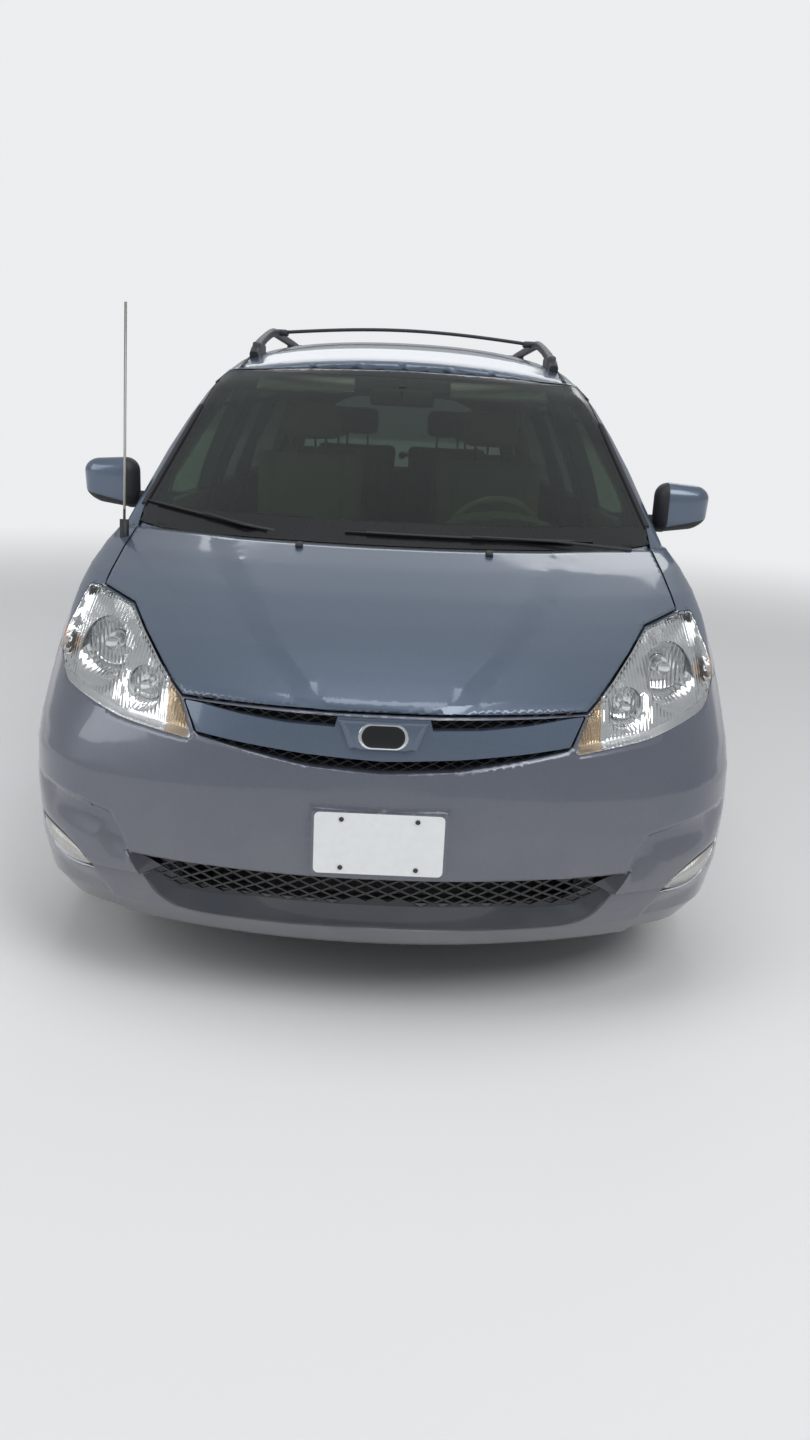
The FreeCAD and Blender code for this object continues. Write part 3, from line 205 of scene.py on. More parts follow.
def wear_group() -> bpy.types.NodeTree:
    """A mask along raised edges, from the surface's pointiness and noise."""
    net = NodeNet("Wear", {"Amount": 1.0}, "Mask")
    shape = net.add("NewGeometry")
    noise = net.add("TexNoise", {"Vector": net.place, "Scale": 60.0})
    edge = net.add("MapRange", {"Value": shape.outputs["Pointiness"], "From Min": 0.52,
                                "From Max": 0.62})
    mix = net.calc("MULTIPLY", edge.outputs["Result"], noise.outputs["Fac"])
    return net.done(net.calc("MULTIPLY", mix, net.given("Amount"), clamp=True))


def flute_group() -> bpy.types.NodeTree:
    """Upright ribs across X, as pressed into a lamp's reflector."""
    net = NodeNet("Flute", {"Scale": 30.0}, "Height")
    return net.done(bands(net, "X", 0.4))


def far_group() -> bpy.types.NodeTree:
    """A mask that grows with the distance from the object."""
    net = NodeNet("Far", {"Near": 3.6, "Far": 9.5}, "Mask")
    length = net.add("VectorMath", {0: net.place}, operation="LENGTH")
    fade = net.add("MapRange", {"Value": length.outputs["Value"],
                                "From Min": net.given("Near"), "From Max": net.given("Far")},
                   interpolation_type="SMOOTHSTEP")
    return net.done(fade.outputs["Result"])


class Effect(Enum):
    """The shared effects, by the name of their node group."""

    GRAIN = "Grain"
    DUST = "Dust"
    FLAKE = "Flake"
    WEAVE = "Weave"
    WEAR = "Wear"
    FAR = "Far"
    FLUTE = "Flute"


EFFECT_MAKERS = {Effect.GRAIN: grain_group, Effect.DUST: dust_group, Effect.FLAKE: flake_group,
                 Effect.WEAVE: weave_group, Effect.WEAR: wear_group,
                 Effect.FAR: far_group, Effect.FLUTE: flute_group}


class MaterialBench:
    """One new material with its Principled shader, and the effects wired to it."""

    def __init__(self, name: str) -> None:
        """Start a material called name."""
        self.material = bpy.data.materials.new(name)
        self.material.use_nodes = True
        self.tree = self.material.node_tree
        self.shader = self.tree.nodes["Principled BSDF"]

    def plain(self, **values: float | tuple[float, ...]) -> None:
        """Set shader sockets that are the same all over.

        Args:
            values: Socket name with spaces as underscores, and its value.
        """
        for label, value in values.items():
            self.shader.inputs[label.replace("_", " ")].default_value = value

    def effect(self, which: Effect, **values: float) -> Socket:
        """Place a shared effect with this material's own values.

        Args:
            which: The effect.
            values: Its input values.

        Returns:
            The effect's output.
        """
        node = self.tree.nodes.new("ShaderNodeGroup")
        found = bpy.data.node_groups.get(which.value)
        node.node_tree = found if found else EFFECT_MAKERS[which]()
        for label, value in values.items():
            node.inputs[label].default_value = value
        return node.outputs[0]

    def blend(self, mask: Socket, first: tuple[float, ...] | Socket,
              second: tuple[float, ...], target: str = "Base Color") -> Socket:
        """Mix two colours, or greys, by a mask, into a shader socket.

        Args:
            mask: The mixing factor.
            first: Colour, or socket, where the mask is 0.
            second: Colour where the mask is 1.
            target: The shader's socket name.

        Returns:
            The mixed colour's socket.
        """
        mix = self.tree.nodes.new("ShaderNodeMix")
        mix.data_type = "RGBA"
        self.tree.links.new(mask, mix.inputs["Factor"])
        if isinstance(first, Socket):
            self.tree.links.new(first, mix.inputs[6])
        else:
            mix.inputs[6].default_value = first
        mix.inputs[7].default_value = second
        self.tree.links.new(mix.outputs[2], self.shader.inputs[target])
        return mix.outputs[2]

    def tones(self, mask: Socket, colour: Place3, dark: float, pale: float) -> Socket:
        """Vary the base colour between a darker and a paler tone of it."""
        return self.blend(mask, shade(colour, dark), shade(colour, pale))

    def gloss(self, mask: Socket, low: float, high: float) -> None:
        """Vary the roughness between two values."""
        self.blend(mask, grey(low), grey(high), "Roughness")

    def bump(self, height: Socket, strength: float, distance: float) -> None:
        """Feed a height into the shader's normal.

        Args:
            height: The height socket.
            strength: Bump strength.
            distance: Bump distance in metres.
        """
        node = self.tree.nodes.new("ShaderNodeBump")
        node.inputs["Strength"].default_value = strength
        node.inputs["Distance"].default_value = distance
        self.tree.links.new(height, node.inputs["Height"])
        self.tree.links.new(node.outputs["Normal"], self.shader.inputs["Normal"])


def shifted(by: Place3 | Vector) -> Matrix:
    """A frame moved by that much and not turned."""
    return Matrix.Translation(by)


def grey(value: float) -> tuple[float, float, float, float]:
    """A grey of that value."""
    return (value, value, value, 1.0)


def shade(colour: Place3, factor: float) -> tuple[float, ...]:
    """A colour made lighter or darker, with an alpha of 1."""
    return (*(min(c * factor, 1.0) for c in colour), 1.0)


@dataclass(frozen=True)
class Paint:
    """Metallic paint under a clear coat, with flakes and a film of dust low down."""

    name: str
    colour: Place3
    slot: str = "paint"
    dust: float = 0.22

    def build(self) -> bpy.types.Material:
        """Returns: The paint's material."""
        bench = MaterialBench(self.name)
        flake = bench.effect(Effect.FLAKE, Scale=1400.0)
        dust = bench.effect(Effect.DUST, Top=0.75, Amount=self.dust * 2)
        bench.blend(dust, bench.tones(flake, self.colour, 0.86, 1.16), (0.34, 0.31, 0.27, 1.0))
        bench.gloss(dust, 0.34, 0.62)
        bench.plain(Metallic=0.45, Coat_Weight=0.85, Coat_Roughness=0.06, Specular_IOR_Level=0.5)
        return bench.material


@dataclass(frozen=True)
class Moulding:
    """Grained plastic or rubber, paler where it is worn."""

    name: str
    colour: Place3
    slot: str = "black"
    roughness: float = 0.55
    scale: float = 500.0
    depth: float = 0.0004
    dust: float = 0.15

    def build(self) -> bpy.types.Material:
        """Returns: The moulding's material."""
        bench = MaterialBench(self.name)
        wear = bench.effect(Effect.WEAR, Amount=0.5)
        dust = bench.effect(Effect.DUST, Top=0.9, Amount=self.dust * 2)
        grain = bench.effect(Effect.GRAIN, Scale=self.scale)
        bench.blend(dust, bench.tones(wear, self.colour, 1.0, 1.9), (0.30, 0.27, 0.23, 1.0))
        bench.gloss(grain, self.roughness - 0.1, self.roughness + 0.12)
        bench.bump(grain, 0.5, self.depth)
        return bench.material


@dataclass(frozen=True)
class Metal:
    """Bare, plated or painted metal with faint variation in its gloss."""

    name: str
    colour: Place3
    slot: str = "chrome"
    roughness: float = 0.15
    metallic: float = 1.0
    scale: float = 35.0
    dirt: float = 0.1
    flutes: float = 0.0

    def build(self) -> bpy.types.Material:
        """Returns: The metal's material."""
        bench = MaterialBench(self.name)
        if self.flutes:
            bench.bump(bench.effect(Effect.FLUTE, Scale=self.flutes), 0.6, 0.0012)
        grain = bench.effect(Effect.GRAIN, Scale=self.scale, Detail=4.0)
        dust = bench.effect(Effect.DUST, Top=1.2, Amount=self.dirt * 2)
        bench.blend(dust, bench.tones(grain, self.colour, 0.9, 1.08), (0.12, 0.10, 0.08, 1.0))
        bench.gloss(grain, self.roughness * 0.7, self.roughness * 1.4)
        bench.plain(Metallic=self.metallic)
        return bench.material


@dataclass(frozen=True)
class Glass:
    """Clear or tinted glass that light passes straight through."""

    name: str
    colour: Place3
    slot: str = "glass"
    roughness: float = 0.0
    ior: float = 1.45
    weight: float = 1.0

    def build(self) -> bpy.types.Material:
        """Returns: The glass's material."""
        bench = MaterialBench(self.name)
        film = bench.effect(Effect.GRAIN, Scale=6.0, Detail=3.0)
        bench.tones(film, self.colour, 0.96, 1.03)
        bench.gloss(film, self.roughness, self.roughness + 0.03)
        bench.plain(Transmission_Weight=self.weight, IOR=self.ior)
        return bench.material


@dataclass(frozen=True)
class Cloth:
    """Woven seat cloth with a soft sheen."""

    name: str
    colour: Place3
    slot: str = "cloth"

    def build(self) -> bpy.types.Material:
        """Returns: The cloth's material."""
        bench = MaterialBench(self.name)
        weave = bench.effect(Effect.WEAVE, Scale=330.0)
        tone = bench.effect(Effect.GRAIN, Scale=9.0, Detail=4.0)
        bench.blend(tone, bench.tones(weave, self.colour, 0.8, 1.1), shade(self.colour, 0.9))
        bench.gloss(weave, 0.95, 0.8)
        bench.bump(weave, 0.4, 0.0008)
        bench.plain(Sheen_Weight=0.25)
        return bench.material


Finish = Paint | Moulding | Metal | Glass | Cloth


class Finishes:
    """Every finish of the vehicle, built once and handed out by name."""

    PAINT = Paint("slate_paint", (0.096, 0.130, 0.186))
    LOWER_PAINT = Paint("bumper_paint", (0.116, 0.130, 0.168), "lower_paint", 0.3)
    # Painted shade: the intake band is the bumper paint darkened to about a quarter, standing for
    # the shade in the band's hollow.
    SHADED_BAND = Paint("band_paint", (0.026, 0.033, 0.048), "lower_paint", 0.1)
    # The green tint is the glass's own; its depth is painted shade for the dim cabin seen through
    # the screen.
    SCREEN = Glass("screen_glass", (0.27, 0.35, 0.29))
    PRIVACY = Glass("privacy_glass", (0.16, 0.19, 0.19), "dark_glass")
    LENS = Glass("lamp_lens", (0.97, 0.98, 0.98), "lens", 0.0, 1.22)
    RED_LENS = Glass("red_lens", (0.62, 0.03, 0.03), "red_lens", 0.08, 1.45, 0.6)
    AMBER_LENS = Glass("amber_lens", (0.95, 0.42, 0.06), "lens", 0.08, 1.45, 0.6)
    CHROME = Metal("reflector_plating", (0.86, 0.87, 0.88))
    BLACK = Moulding("black_moulding", (0.018, 0.018, 0.020))
    FRIT = Moulding("black_border", (0.008, 0.008, 0.009), "black", 0.22, 120.0, 0.00005, 0.0)
    BOWL = Metal("lamp_bowl", (0.90, 0.91, 0.91), "chrome", 0.10, 1.0, 20.0, 0.0, 30.0)
    AMBER_BOWL = Metal("amber_bowl", (0.60, 0.45, 0.29), "chrome", 0.25, 0.6, 60.0, 0.0, 44.0)
    FROSTED = Glass("frosted_lens", (0.93, 0.94, 0.95), "lens", 0.38)
    FOG = Metal("fog_reflector", (0.52, 0.52, 0.49), "lens", 0.22, 0.4, 30.0, 0.0, 60.0)
    BLADE = Metal("bright_blade", (0.55, 0.58, 0.64), "chrome", 0.18, 1.0, 40.0, 0.0)
    TRIM = Moulding("dark_trim", (0.035, 0.036, 0.040), "black", 0.4)
    WIRE = Moulding("grille_wire", (0.028, 0.028, 0.030), "black", 0.45, 200.0, 0.0001, 0.0)
    TYRE = Moulding("tyre_rubber", (0.020, 0.020, 0.021), "tyre", 0.8, 260.0, 0.0006, 0.5)
    ALLOY = Metal("wheel_silver", (0.56, 0.57, 0.59), "alloy", 0.32, 0.8)
    IRON = Metal("cast_metal", (0.10, 0.10, 0.11), "iron", 0.6, 0.7, 60.0, 0.4)
    STEEL = Metal("pipe_steel", (0.34, 0.33, 0.32), "steel", 0.42, 1.0, 80.0, 0.3)
    DASH = Moulding("dash_moulding", (0.46, 0.41, 0.33), "dash", 0.6, 650.0, 0.0004, 0.0)
    DASH_TOP = Moulding("dash_top", (0.33, 0.30, 0.25), "dash", 0.65, 650.0, 0.0004, 0.0)
    LINING = Moulding("cabin_lining", (0.42, 0.40, 0.36), "dash", 0.85, 900.0, 0.0003, 0.0)
    MIRROR = Metal("mirror_glass", (0.90, 0.91, 0.92), "chrome", 0.03, 1.0, 5.0, 0.0)
    CLOTH = Cloth("seat_cloth", (0.46, 0.42, 0.35))
    PLATE = Moulding("plate_white", (0.78, 0.80, 0.80), "chrome", 0.35, 90.0, 0.0001, 0.0)

    made: dict[str, bpy.types.Material] = {}

    @classmethod
    def get(cls, finish: Finish) -> bpy.types.Material:
        """The material of a finish, built on first use."""
        if finish.name not in cls.made:
            cls.made[finish.name] = finish.build()
        return cls.made[finish.name]


# Making pieces


def picked(result: dict, kind: type) -> list:
    """The elements of one kind in what a bmesh operator gives back."""
    return [element for element in result["geom"] if isinstance(element, kind)]


def cad_copy(*nodes: str) -> Shape:
    """Copy CAD nodes into one mesh, merged by distance.

    Args:
        nodes: Names of the CAD nodes.

    Returns:
        The merged copy.
    """
    shape = bmesh.new()
    for name in nodes:
        shape.from_mesh(FRAME["nodes"][name].data)
    bmesh.ops.remove_doubles(shape, verts=shape.verts, dist=MERGE)
    bmesh.ops.dissolve_degenerate(shape, edges=shape.edges, dist=TINY)
    return shape


def finish_piece(shape: Shape, name: str, finishes: Finish | list[Finish],
                 body: str = "body", replaces: tuple[str, ...] = (),
                 smooth: float = 30.0) -> bpy.types.Object:
    """Turn a mesh into a dressed piece that rides on its body.

    Args:
        shape: The mesh, freed here.
        name: The piece's name.
        finishes: Its finish, or its finishes in the order of its faces' indices.
        body: The CAD body it rides on.
        replaces: CAD nodes that it stands for.
        smooth: Edges sharper than this many degrees stay sharp.

    Returns:
        The piece's object.
    """
    mesh = bpy.data.meshes.new(name)
    for face in shape.faces:
        face.smooth = True
    shape.to_mesh(mesh)
    shape.free()
    mesh.set_sharp_from_angle(angle=math.radians(smooth))
    obj = bpy.data.objects.new(name, mesh)
    bpy.context.collection.objects.link(obj)
    several = finishes if isinstance(finishes, list) else [finishes]
    for finish in several:
        mesh.materials.append(Finishes.get(finish))
    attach(obj, body)
    if replaces:
        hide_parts(*replaces)
    return obj


def both_sides(shape: Shape) -> Shape:
    """Add the mirror image across X to a mesh, normals kept outwards."""
    copy = bmesh.ops.duplicate(shape, geom=shape.verts[:] + shape.edges[:] + shape.faces[:])
    bmesh.ops.scale(shape, vec=(-1, 1, 1), verts=picked(copy, bmesh.types.BMVert))
    bmesh.ops.reverse_faces(shape, faces=picked(copy, bmesh.types.BMFace))
    return shape


class Skin:
    """Finds points on the outside of CAD nodes."""

    start = Vector((2.0, 4.0, 3.0))

    def __init__(self, *nodes: str) -> None:
        """Read the nodes' outer surfaces."""
        shape = cad_copy(*nodes)
        self.tree = BVHTree.FromBMesh(shape)
        shape.free()

    def hit(self, start: Vector, way: Vector) -> tuple[Vector, Vector]:
        """The first point on the skin along a line.

        Args:
            start: Where the line starts, outside the object.
            way: Its direction.

        Returns:
            The point and its outward normal.
        """
        point, normal, _, _ = self.tree.ray_cast(start, way)
        if point is None:
            point, normal, _, _ = self.tree.find_nearest(start + way * 2.0)
        if normal.dot(way) > 0:
            normal = -normal
        return point, normal

    def front(self, x: float, z: float) -> tuple[Vector, Vector]:
        """The point seen from the front at x and z."""
        return self.hit(Vector((x, -self.start.y, z)), Vector((0, 1, 0)))

    def back(self, x: float, z: float) -> tuple[Vector, Vector]:
        """The point seen from behind at x and z."""
        return self.hit(Vector((x, self.start.y, z)), Vector((0, -1, 0)))

    def side(self, sign: int, y: float, z: float) -> tuple[Vector, Vector]:
        """The point seen from one side at y and z."""
        return self.hit(Vector((sign * self.start.x, y, z)), Vector((-sign, 0, 0)))

    def top(self, x: float, y: float) -> tuple[Vector, Vector]:
        """The point seen from above at x and y."""
        return self.hit(Vector((x, y, self.start.z)), Vector((0, 0, -1)))


def frames_along(points: Path, lift: float = 0.0) -> list[Matrix]:
    """Frames that stand on a path: X across it, Y along the normal, Z along the path.

    Args:
        points: Points on a surface with their normals.
        lift: How far the frames stand off the surface.

    Returns:
        One frame a point.
    """
    frames = []
    for index, (point, normal) in enumerate(points):
        before = points[max(index - 1, 0)][0]
        after = points[min(index + 1, len(points) - 1)][0]
        along = (after - before).normalized()
        up = (normal - along * normal.dot(along)).normalized()
        across = up.cross(along)
        turn = Matrix((across, up, along)).transposed().to_4x4()
        frames.append(shifted(point + up * lift) @ turn)
    return frames


def sweep(frames: list[Matrix], outline: Outline, sizes: list[float] | None = None) -> Shape:
    """Push an outline along frames by extruding its face again and again.

    Args:
        frames: Where the outline stands, in order.
        outline: Its corners in each frame's X and Y.
        sizes: A scale for each frame, all 1 if left out.

    Returns:
        The closed mesh.
    """
    shape = bmesh.new()
    sizes = sizes or [1.0] * len(frames)
    scaled = [frame @ Matrix.Diagonal((size, size, 1.0, 1.0))
              for frame, size in zip(frames, sizes)]
    cap = shape.faces.new([shape.verts.new(scaled[0] @ Vector((u, v, 0))) for u, v in outline])
    for before, after in zip(scaled, scaled[1:]):
        grown = bmesh.ops.extrude_face_region(shape, geom=[cap])
        cap = picked(grown, bmesh.types.BMFace)[0]
        bmesh.ops.transform(shape, matrix=after @ before.inverted(),
                            verts=picked(grown, bmesh.types.BMVert))
    bmesh.ops.recalc_face_normals(shape, faces=shape.faces)
    return shape


def rounded(half_u: float, half_v: float, radius: float, steps: int = 3) -> Outline:
    """Corners of a rounded rectangle about the origin."""
    points = []
    for k, (su, sv) in enumerate(((1, 1), (-1, 1), (-1, -1), (1, -1))):
        for step in range(steps + 1):
            angle = math.pi / 2 * (k + step / steps)
            points.append((su * (half_u - radius) + radius * math.cos(angle),
                           sv * (half_v - radius) + radius * math.sin(angle)))
    return points


def spaced(find: Callable[[float, float], tuple[Vector, Vector]], first: tuple[float, float],
           last: tuple[float, float], steps: int = SWEEP_STEPS) -> Path:
    """Points on a skin at even steps between two places.

    Args:
        find: The skin's search for a point at two coordinates.
        first: The coordinates where the row starts.
        last: Those where it ends.
        steps: How many steps it has.

    Returns:
        The points with their normals.
    """
    return [find(*(a + (b - a) * k / steps for a, b in zip(first, last)))
            for k in range(steps + 1)]


def strip(path: Path, outline: tuple[float, ...], sizes: list[float] | None = None,
          lift: float = 0.0) -> Shape:
    """A strip with round edges along a path; outline is what rounded takes."""
    return sweep(frames_along(path, lift), rounded(*outline), sizes)


def stacked(place: Matrix, levels: Corners, outline: Outline) -> Shape:
    """An outline pushed up through levels, each a height above place and a scale."""
    return sweep([place @ shifted((0, 0, level)) for level, _ in levels], outline,
                 [size for _, size in levels])


def hub_frame(sign: int, out: float, axle_y: float) -> Matrix:
    """A frame on a wheel's axis, with Z outboard."""
    return shifted((sign * out, axle_y, WHEEL_Z)) @ Matrix.Rotation(sign * math.pi / 2, 4, "Y")


def block(size: Place3, place: Matrix, edge: float, segments: int = 2) -> Shape:
    """A box with rounded edges.

    Args:
        size: Its length along X, Y and Z.
        place: Where it stands.
        edge: The radius of its edges.
        segments: Segments of each rounded edge.

    Returns:
        The mesh.
    """
    shape = bmesh.new()
    bmesh.ops.create_cube(shape, size=1.0)
    bmesh.ops.scale(shape, vec=size, verts=shape.verts)
    bmesh.ops.bevel(shape, geom=shape.edges[:], offset=edge, segments=segments, profile=0.5,
                    affect="EDGES", material=-1)
    bmesh.ops.transform(shape, matrix=place, verts=shape.verts)
    return shape


def turned(profile: Outline, place: Matrix, steps: int = 32) -> Shape:
    """A shape turned about its Z axis by a full spin of a profile.

    Args:
        profile: Points as radius and height.
        place: Where its axis stands.
        steps: Steps of the spin.

    Returns:
        The mesh.
    """
    shape = bmesh.new()
    verts = [shape.verts.new((r, 0, h)) for r, h in profile]
    edges = [shape.edges.new(pair) for pair in zip(verts, verts[1:])]
    bmesh.ops.spin(shape, geom=verts + edges, cent=(0, 0, 0), axis=(0, 0, 1),
                   angle=math.tau, steps=steps, use_merge=True)
    bmesh.ops.remove_doubles(shape, verts=shape.verts, dist=TINY)
    bmesh.ops.recalc_face_normals(shape, faces=shape.faces)
    bmesh.ops.transform(shape, matrix=place, verts=shape.verts)
    return shape


def joined(*shapes: Shape) -> Shape:
    """Several meshes as one; the parts are freed."""
    whole = bmesh.new()
    for shape in shapes:
        mesh = bpy.data.meshes.new("part")
        shape.to_mesh(mesh)
        shape.free()
        whole.from_mesh(mesh)
        bpy.data.meshes.remove(mesh)
    return whole


def stand(point: Vector, normal: Vector, up: Vector = Vector((0, 0, 1))) -> Matrix:
    """A frame on a surface: Z along the normal, Y as near to up as can be."""
    side = up.cross(normal).normalized()
    return shifted(point) @ Matrix((side, normal.cross(side), normal)).transposed().to_4x4()


def softened(shape: Shape, step: float, passes: int, corner: float = 30.0) -> Shape:
    """Split long edges and smooth the skin between its sharp edges.

    Args:
        shape: The mesh.
        step: Edges longer than this are split.
        passes: Rounds of smoothing.
        corner: Edges sharper than this many degrees stay put.

    Returns:
        The same mesh.
    """
    bmesh.ops.dissolve_limit(shape, angle_limit=FLAT_ANGLE, verts=shape.verts,
                             edges=shape.edges, delimit={"NORMAL"})
    bmesh.ops.triangulate(shape, faces=shape.faces)
    for _ in range(SPLIT_ROUNDS):
        longs = [edge for edge in shape.edges if edge.calc_length() > step]
        if not longs:
            break
        bmesh.ops.subdivide_edges(shape, edges=longs, cuts=1)
        bmesh.ops.triangulate(shape, faces=shape.faces)
    limit = math.radians(corner)
    fixed = {vert for edge in shape.edges for vert in edge.verts
             if len(edge.link_faces) != 2 or edge.calc_face_angle(0.0) > limit}
    near = {edge.other_vert(vert) for vert in fixed for edge in vert.link_edges}
    free = {vert for vert in shape.verts if vert not in fixed and vert not in near}
    short = [edge for edge in shape.edges
             if edge.calc_length() < step * SHORT_SHARE and set(edge.verts) <= free]
    bmesh.ops.collapse(shape, edges=short)
    free = [vert for vert in free if vert.is_valid]
    for _ in range(passes):
        bmesh.ops.smooth_vert(shape, verts=free, factor=SMOOTHING, use_axis_x=True,
                              use_axis_y=True, use_axis_z=True)
    return shape


def cut_faces(shape: Shape, planes: list[tuple[Vector, Vector]], index: int,
              inside: bool = False) -> None:
    """Cut a mesh along planes and give the faces beyond them a finish of their own.

    Args:
        shape: The mesh.
        planes: Point and outward direction of each plane.
        index: The finish's index on the piece.
        inside: True to mark the faces behind every plane instead.
    """
    for point, out in planes:
        bmesh.ops.bisect_plane(shape, geom=shape.verts[:] + shape.edges[:] + shape.faces[:],
                               dist=TINY, plane_co=point, plane_no=out)
    for face in shape.faces:
        middle = face.calc_center_median()
        beyond = [(middle - point).dot(out) > 0 for point, out in planes]
        if (not any(beyond)) if inside else any(beyond):
            face.material_index = index


def eased(value: float) -> float:
    """A step from 0 to 1 with soft ends."""
    value = min(max(value, 0.0), 1.0)
    return value * value * (3.0 - 2.0 * value)


def path_side(path: Corners, x: float, z: float) -> tuple[float, bool]:
    """How far a point lies from a path in the front view.

    Args:
        path: The path's corners as x and z.
        x: The point's place across the vehicle.
        z: The point's height.

    Returns:
        The distance, and whether the point lies on the path's left.
    """
    best, left = math.inf, False
    for (xa, za), (xb, zb) in zip(path, path[1:]):
        dx, dz = xb - xa, zb - za
        share = min(max(((x - xa) * dx + (z - za) * dz) / (dx * dx + dz * dz), 0.0), 1.0)
        away = math.hypot(x - xa - dx * share, z - za - dz * share)
        if away < best:
            best, left = away, dx * (z - za) > dz * (x - xa)
    return best, left


def faded(value: float, span: tuple[float, float]) -> float:
    """A soft step that starts at span's first number and takes its second; below 0 it falls."""
    start, length = span
    return eased((value - start) / length)


def roof_crown(x: float, y: float) -> float:
    """How far the roof's skin is raised above the CAD panel at a place."""
    across = max(1.0 - (abs(x) / CROWN_HALF) ** 4, 0.0)
    return CROWN_RISE * across * faded(y, CROWN_FRONT) * faded(y, CROWN_REAR)


@dataclass
class Relief:
    """The front bumper's relief: the intake's lip, the recessed corners and the folds."""

    lip: Corners = (
        (0.0, 0.272), (0.283, 0.270), (0.411, 0.265), (0.495, 0.268), (0.544, 0.299),
        (0.584, 0.345), (0.617, 0.391), (0.632, 0.404))
    corner: Corners = (
        (0.880, 0.532), (0.824, 0.526), (0.741, 0.516), (0.667, 0.501), (0.640, 0.466),
        (0.623, 0.430), (0.605, 0.360))
    fold: Corners = (
        (0.722, 0.332), (0.674, 0.277), (0.645, 0.202), (0.640, 0.150))
    fog: Corners = ((0.716, 0.334), (0.805, 0.347), (0.893, 0.423))
    lip_half: float = 0.66
    lip_depth: float = 0.032
    lip_rise: float = 0.010
    lip_top: tuple[float, float] = (0.405, -0.03)
    corner_depth: float = 0.021
    corner_rise: float = 0.022
    corner_fall: tuple[float, float] = (0.03, 0.08)
    corner_foot: tuple[float, float] = (0.36, 0.08)
    corner_end: tuple[float, float] = (0.91, -0.06)
    fold_depth: float = 0.014
    fold_rise: float = 0.02
    fold_fall: tuple[float, float] = (0.05, 0.10)
    fold_top: tuple[float, float] = (0.36, -0.05)
    fog_clear: float = 0.05
    areas: tuple[tuple[float, ...], ...] = ((-1.0, 0.67, 0.24, 0.42), (0.58, 0.92, 0.16, 0.56))
    front_y: float = -2.0
    core_y: float = -1.3
    rounds: int = 4
    cell: float = 0.009

    def depth(self, x: float, z: float) -> float:
        """How far the skin is pressed in at a place in the front view."""
        x = abs(x)
        total = 0.0
        away, inside = path_side(self.lip, x, z)
        if inside and x < self.lip_half and z < self.lip_top[0]:
            total += self.lip_depth * eased(away / self.lip_rise) * faded(z, self.lip_top)
        away, inside = path_side(self.corner, x, z)
        if inside:
            total += (self.corner_depth * eased(away / self.corner_rise)
                      * (1 - faded(away, self.corner_fall)) * faded(z, self.corner_foot)
                      * faded(x, self.corner_end))
        away, inside = path_side(self.fold, x, z)
        if inside:
            near_fog = path_side(self.fog, x, z)[0]
            total += (self.fold_depth * eased(away / self.fold_rise)
                      * (1 - faded(away, self.fold_fall)) * eased(near_fog / self.fog_clear)
                      * faded(z, self.fold_top))
        return total

    def wanted(self, place: Vector) -> bool:
        """Whether the relief needs a fine mesh at a place."""
        x, z = abs(place.x), place.z
        return place.y < self.front_y and any(
            left < x < right and low < z < high for left, right, low, high in self.areas)

    def press(self, shape: Shape) -> None:
        """Split the mesh where the relief is and press the relief in."""
        for _ in range(self.rounds):
            longs = [edge for edge in shape.edges if edge.calc_length() > self.cell
                     and self.wanted((edge.verts[0].co + edge.verts[1].co) / 2)]
            if not longs:
                break
            bmesh.ops.subdivide_edges(shape, edges=longs, cuts=1)
            bmesh.ops.triangulate(shape, faces=shape.faces)
        for vert in shape.verts:
            if self.wanted(vert.co):
                way = Vector((-vert.co.x, self.core_y - vert.co.y, 0)).normalized()
                vert.co += way * self.depth(vert.co.x, vert.co.z)


@dataclass
class BodyPanels:
    """The painted outer panels, smoothed copies of the CAD panels."""

    upper: tuple[tuple[str, str], ...] = (
        ("fenders", "body"), ("side_frames", "body"), ("quarter_panels", "body"),
        ("roof_panel", "body"), ("hood", "hood"), ("front_door_left", "door_left"),
        ("front_door_right", "door_right"), ("sliding_doors", "body"), ("tailgate", "tailgate"),
        ("grille_bar", "body"))
    soft: tuple[tuple[str, float, int, float], ...] = (
        ("hood", 0.018, 14, 12.0), ("front_bumper", 0.020, 3, 9.0), ("fenders", 0.025, 3, 12.0),
        ("roof_panel", 0.04, 2, 30.0))
    relief: Relief = field(default_factory=Relief)
    lower: tuple[tuple[str, str], ...] = (("front_bumper", "body"), ("rear_bumper", "body"))
    arch_radius: float = 0.40
    arch_facing: float = 0.5
    cabin_ends: tuple[float, float] = (-0.6, 1.9)
    cabin_z: float = 0.9
    cabin_edge: tuple[float, float] = (-1.125, 0.33)
    cabin_facing: float = 0.35

    def build(self) -> None:
        """Make each panel and give it its paint."""
        soft = {row[0]: row[1:] for row in self.soft}
        for rows, paint in ((self.upper, Finishes.PAINT), (self.lower, Finishes.LOWER_PAINT)):
            for node, body in rows:
                shape = cad_copy(node)
                if node in soft:
                    softened(shape, *soft[node])
                if node == "front_bumper":
                    self.relief.press(shape)
                if node == "roof_panel":
                    for vert in shape.verts:
                        vert.co.z += roof_crown(vert.co.x, vert.co.y)
                self.line_inside(shape)
                skin = finish_piece(shape, node + "_skin",
                                    [paint, Finishes.LINING, Finishes.BLACK], body, (node,),
                                    50.0 if node == "hood" else 30.0)
                weighted = skin.modifiers.new("weighted", "WEIGHTED_NORMAL")
                weighted.keep_sharp = True
                LOG.info("panel %s", node)

    def line_inside(self, shape: Shape) -> None:
        """Give the cabin's inner faces their lining and the wheel arches black plastic."""
        for face in shape.faces:
            middle = face.calc_center_median()
            for wheel_y in (FRONT_AXLE_Y, REAR_AXLE_Y):
                spoke = Vector((0, wheel_y - middle.y, WHEEL_Z - middle.z))
                if (spoke.length < self.arch_radius
                        and spoke.dot(face.normal) > self.arch_facing * spoke.length):
                    face.material_index = 2
            first, last = self.cabin_ends
            core = Vector((0, min(max(middle.y, first), last), self.cabin_z)) - middle
            within = middle.y > self.cabin_edge[0] and middle.z > self.cabin_edge[1]
            if (within and face.material_index == 0
                    and core.normalized().dot(face.normal) > self.cabin_facing):
                face.material_index = 1


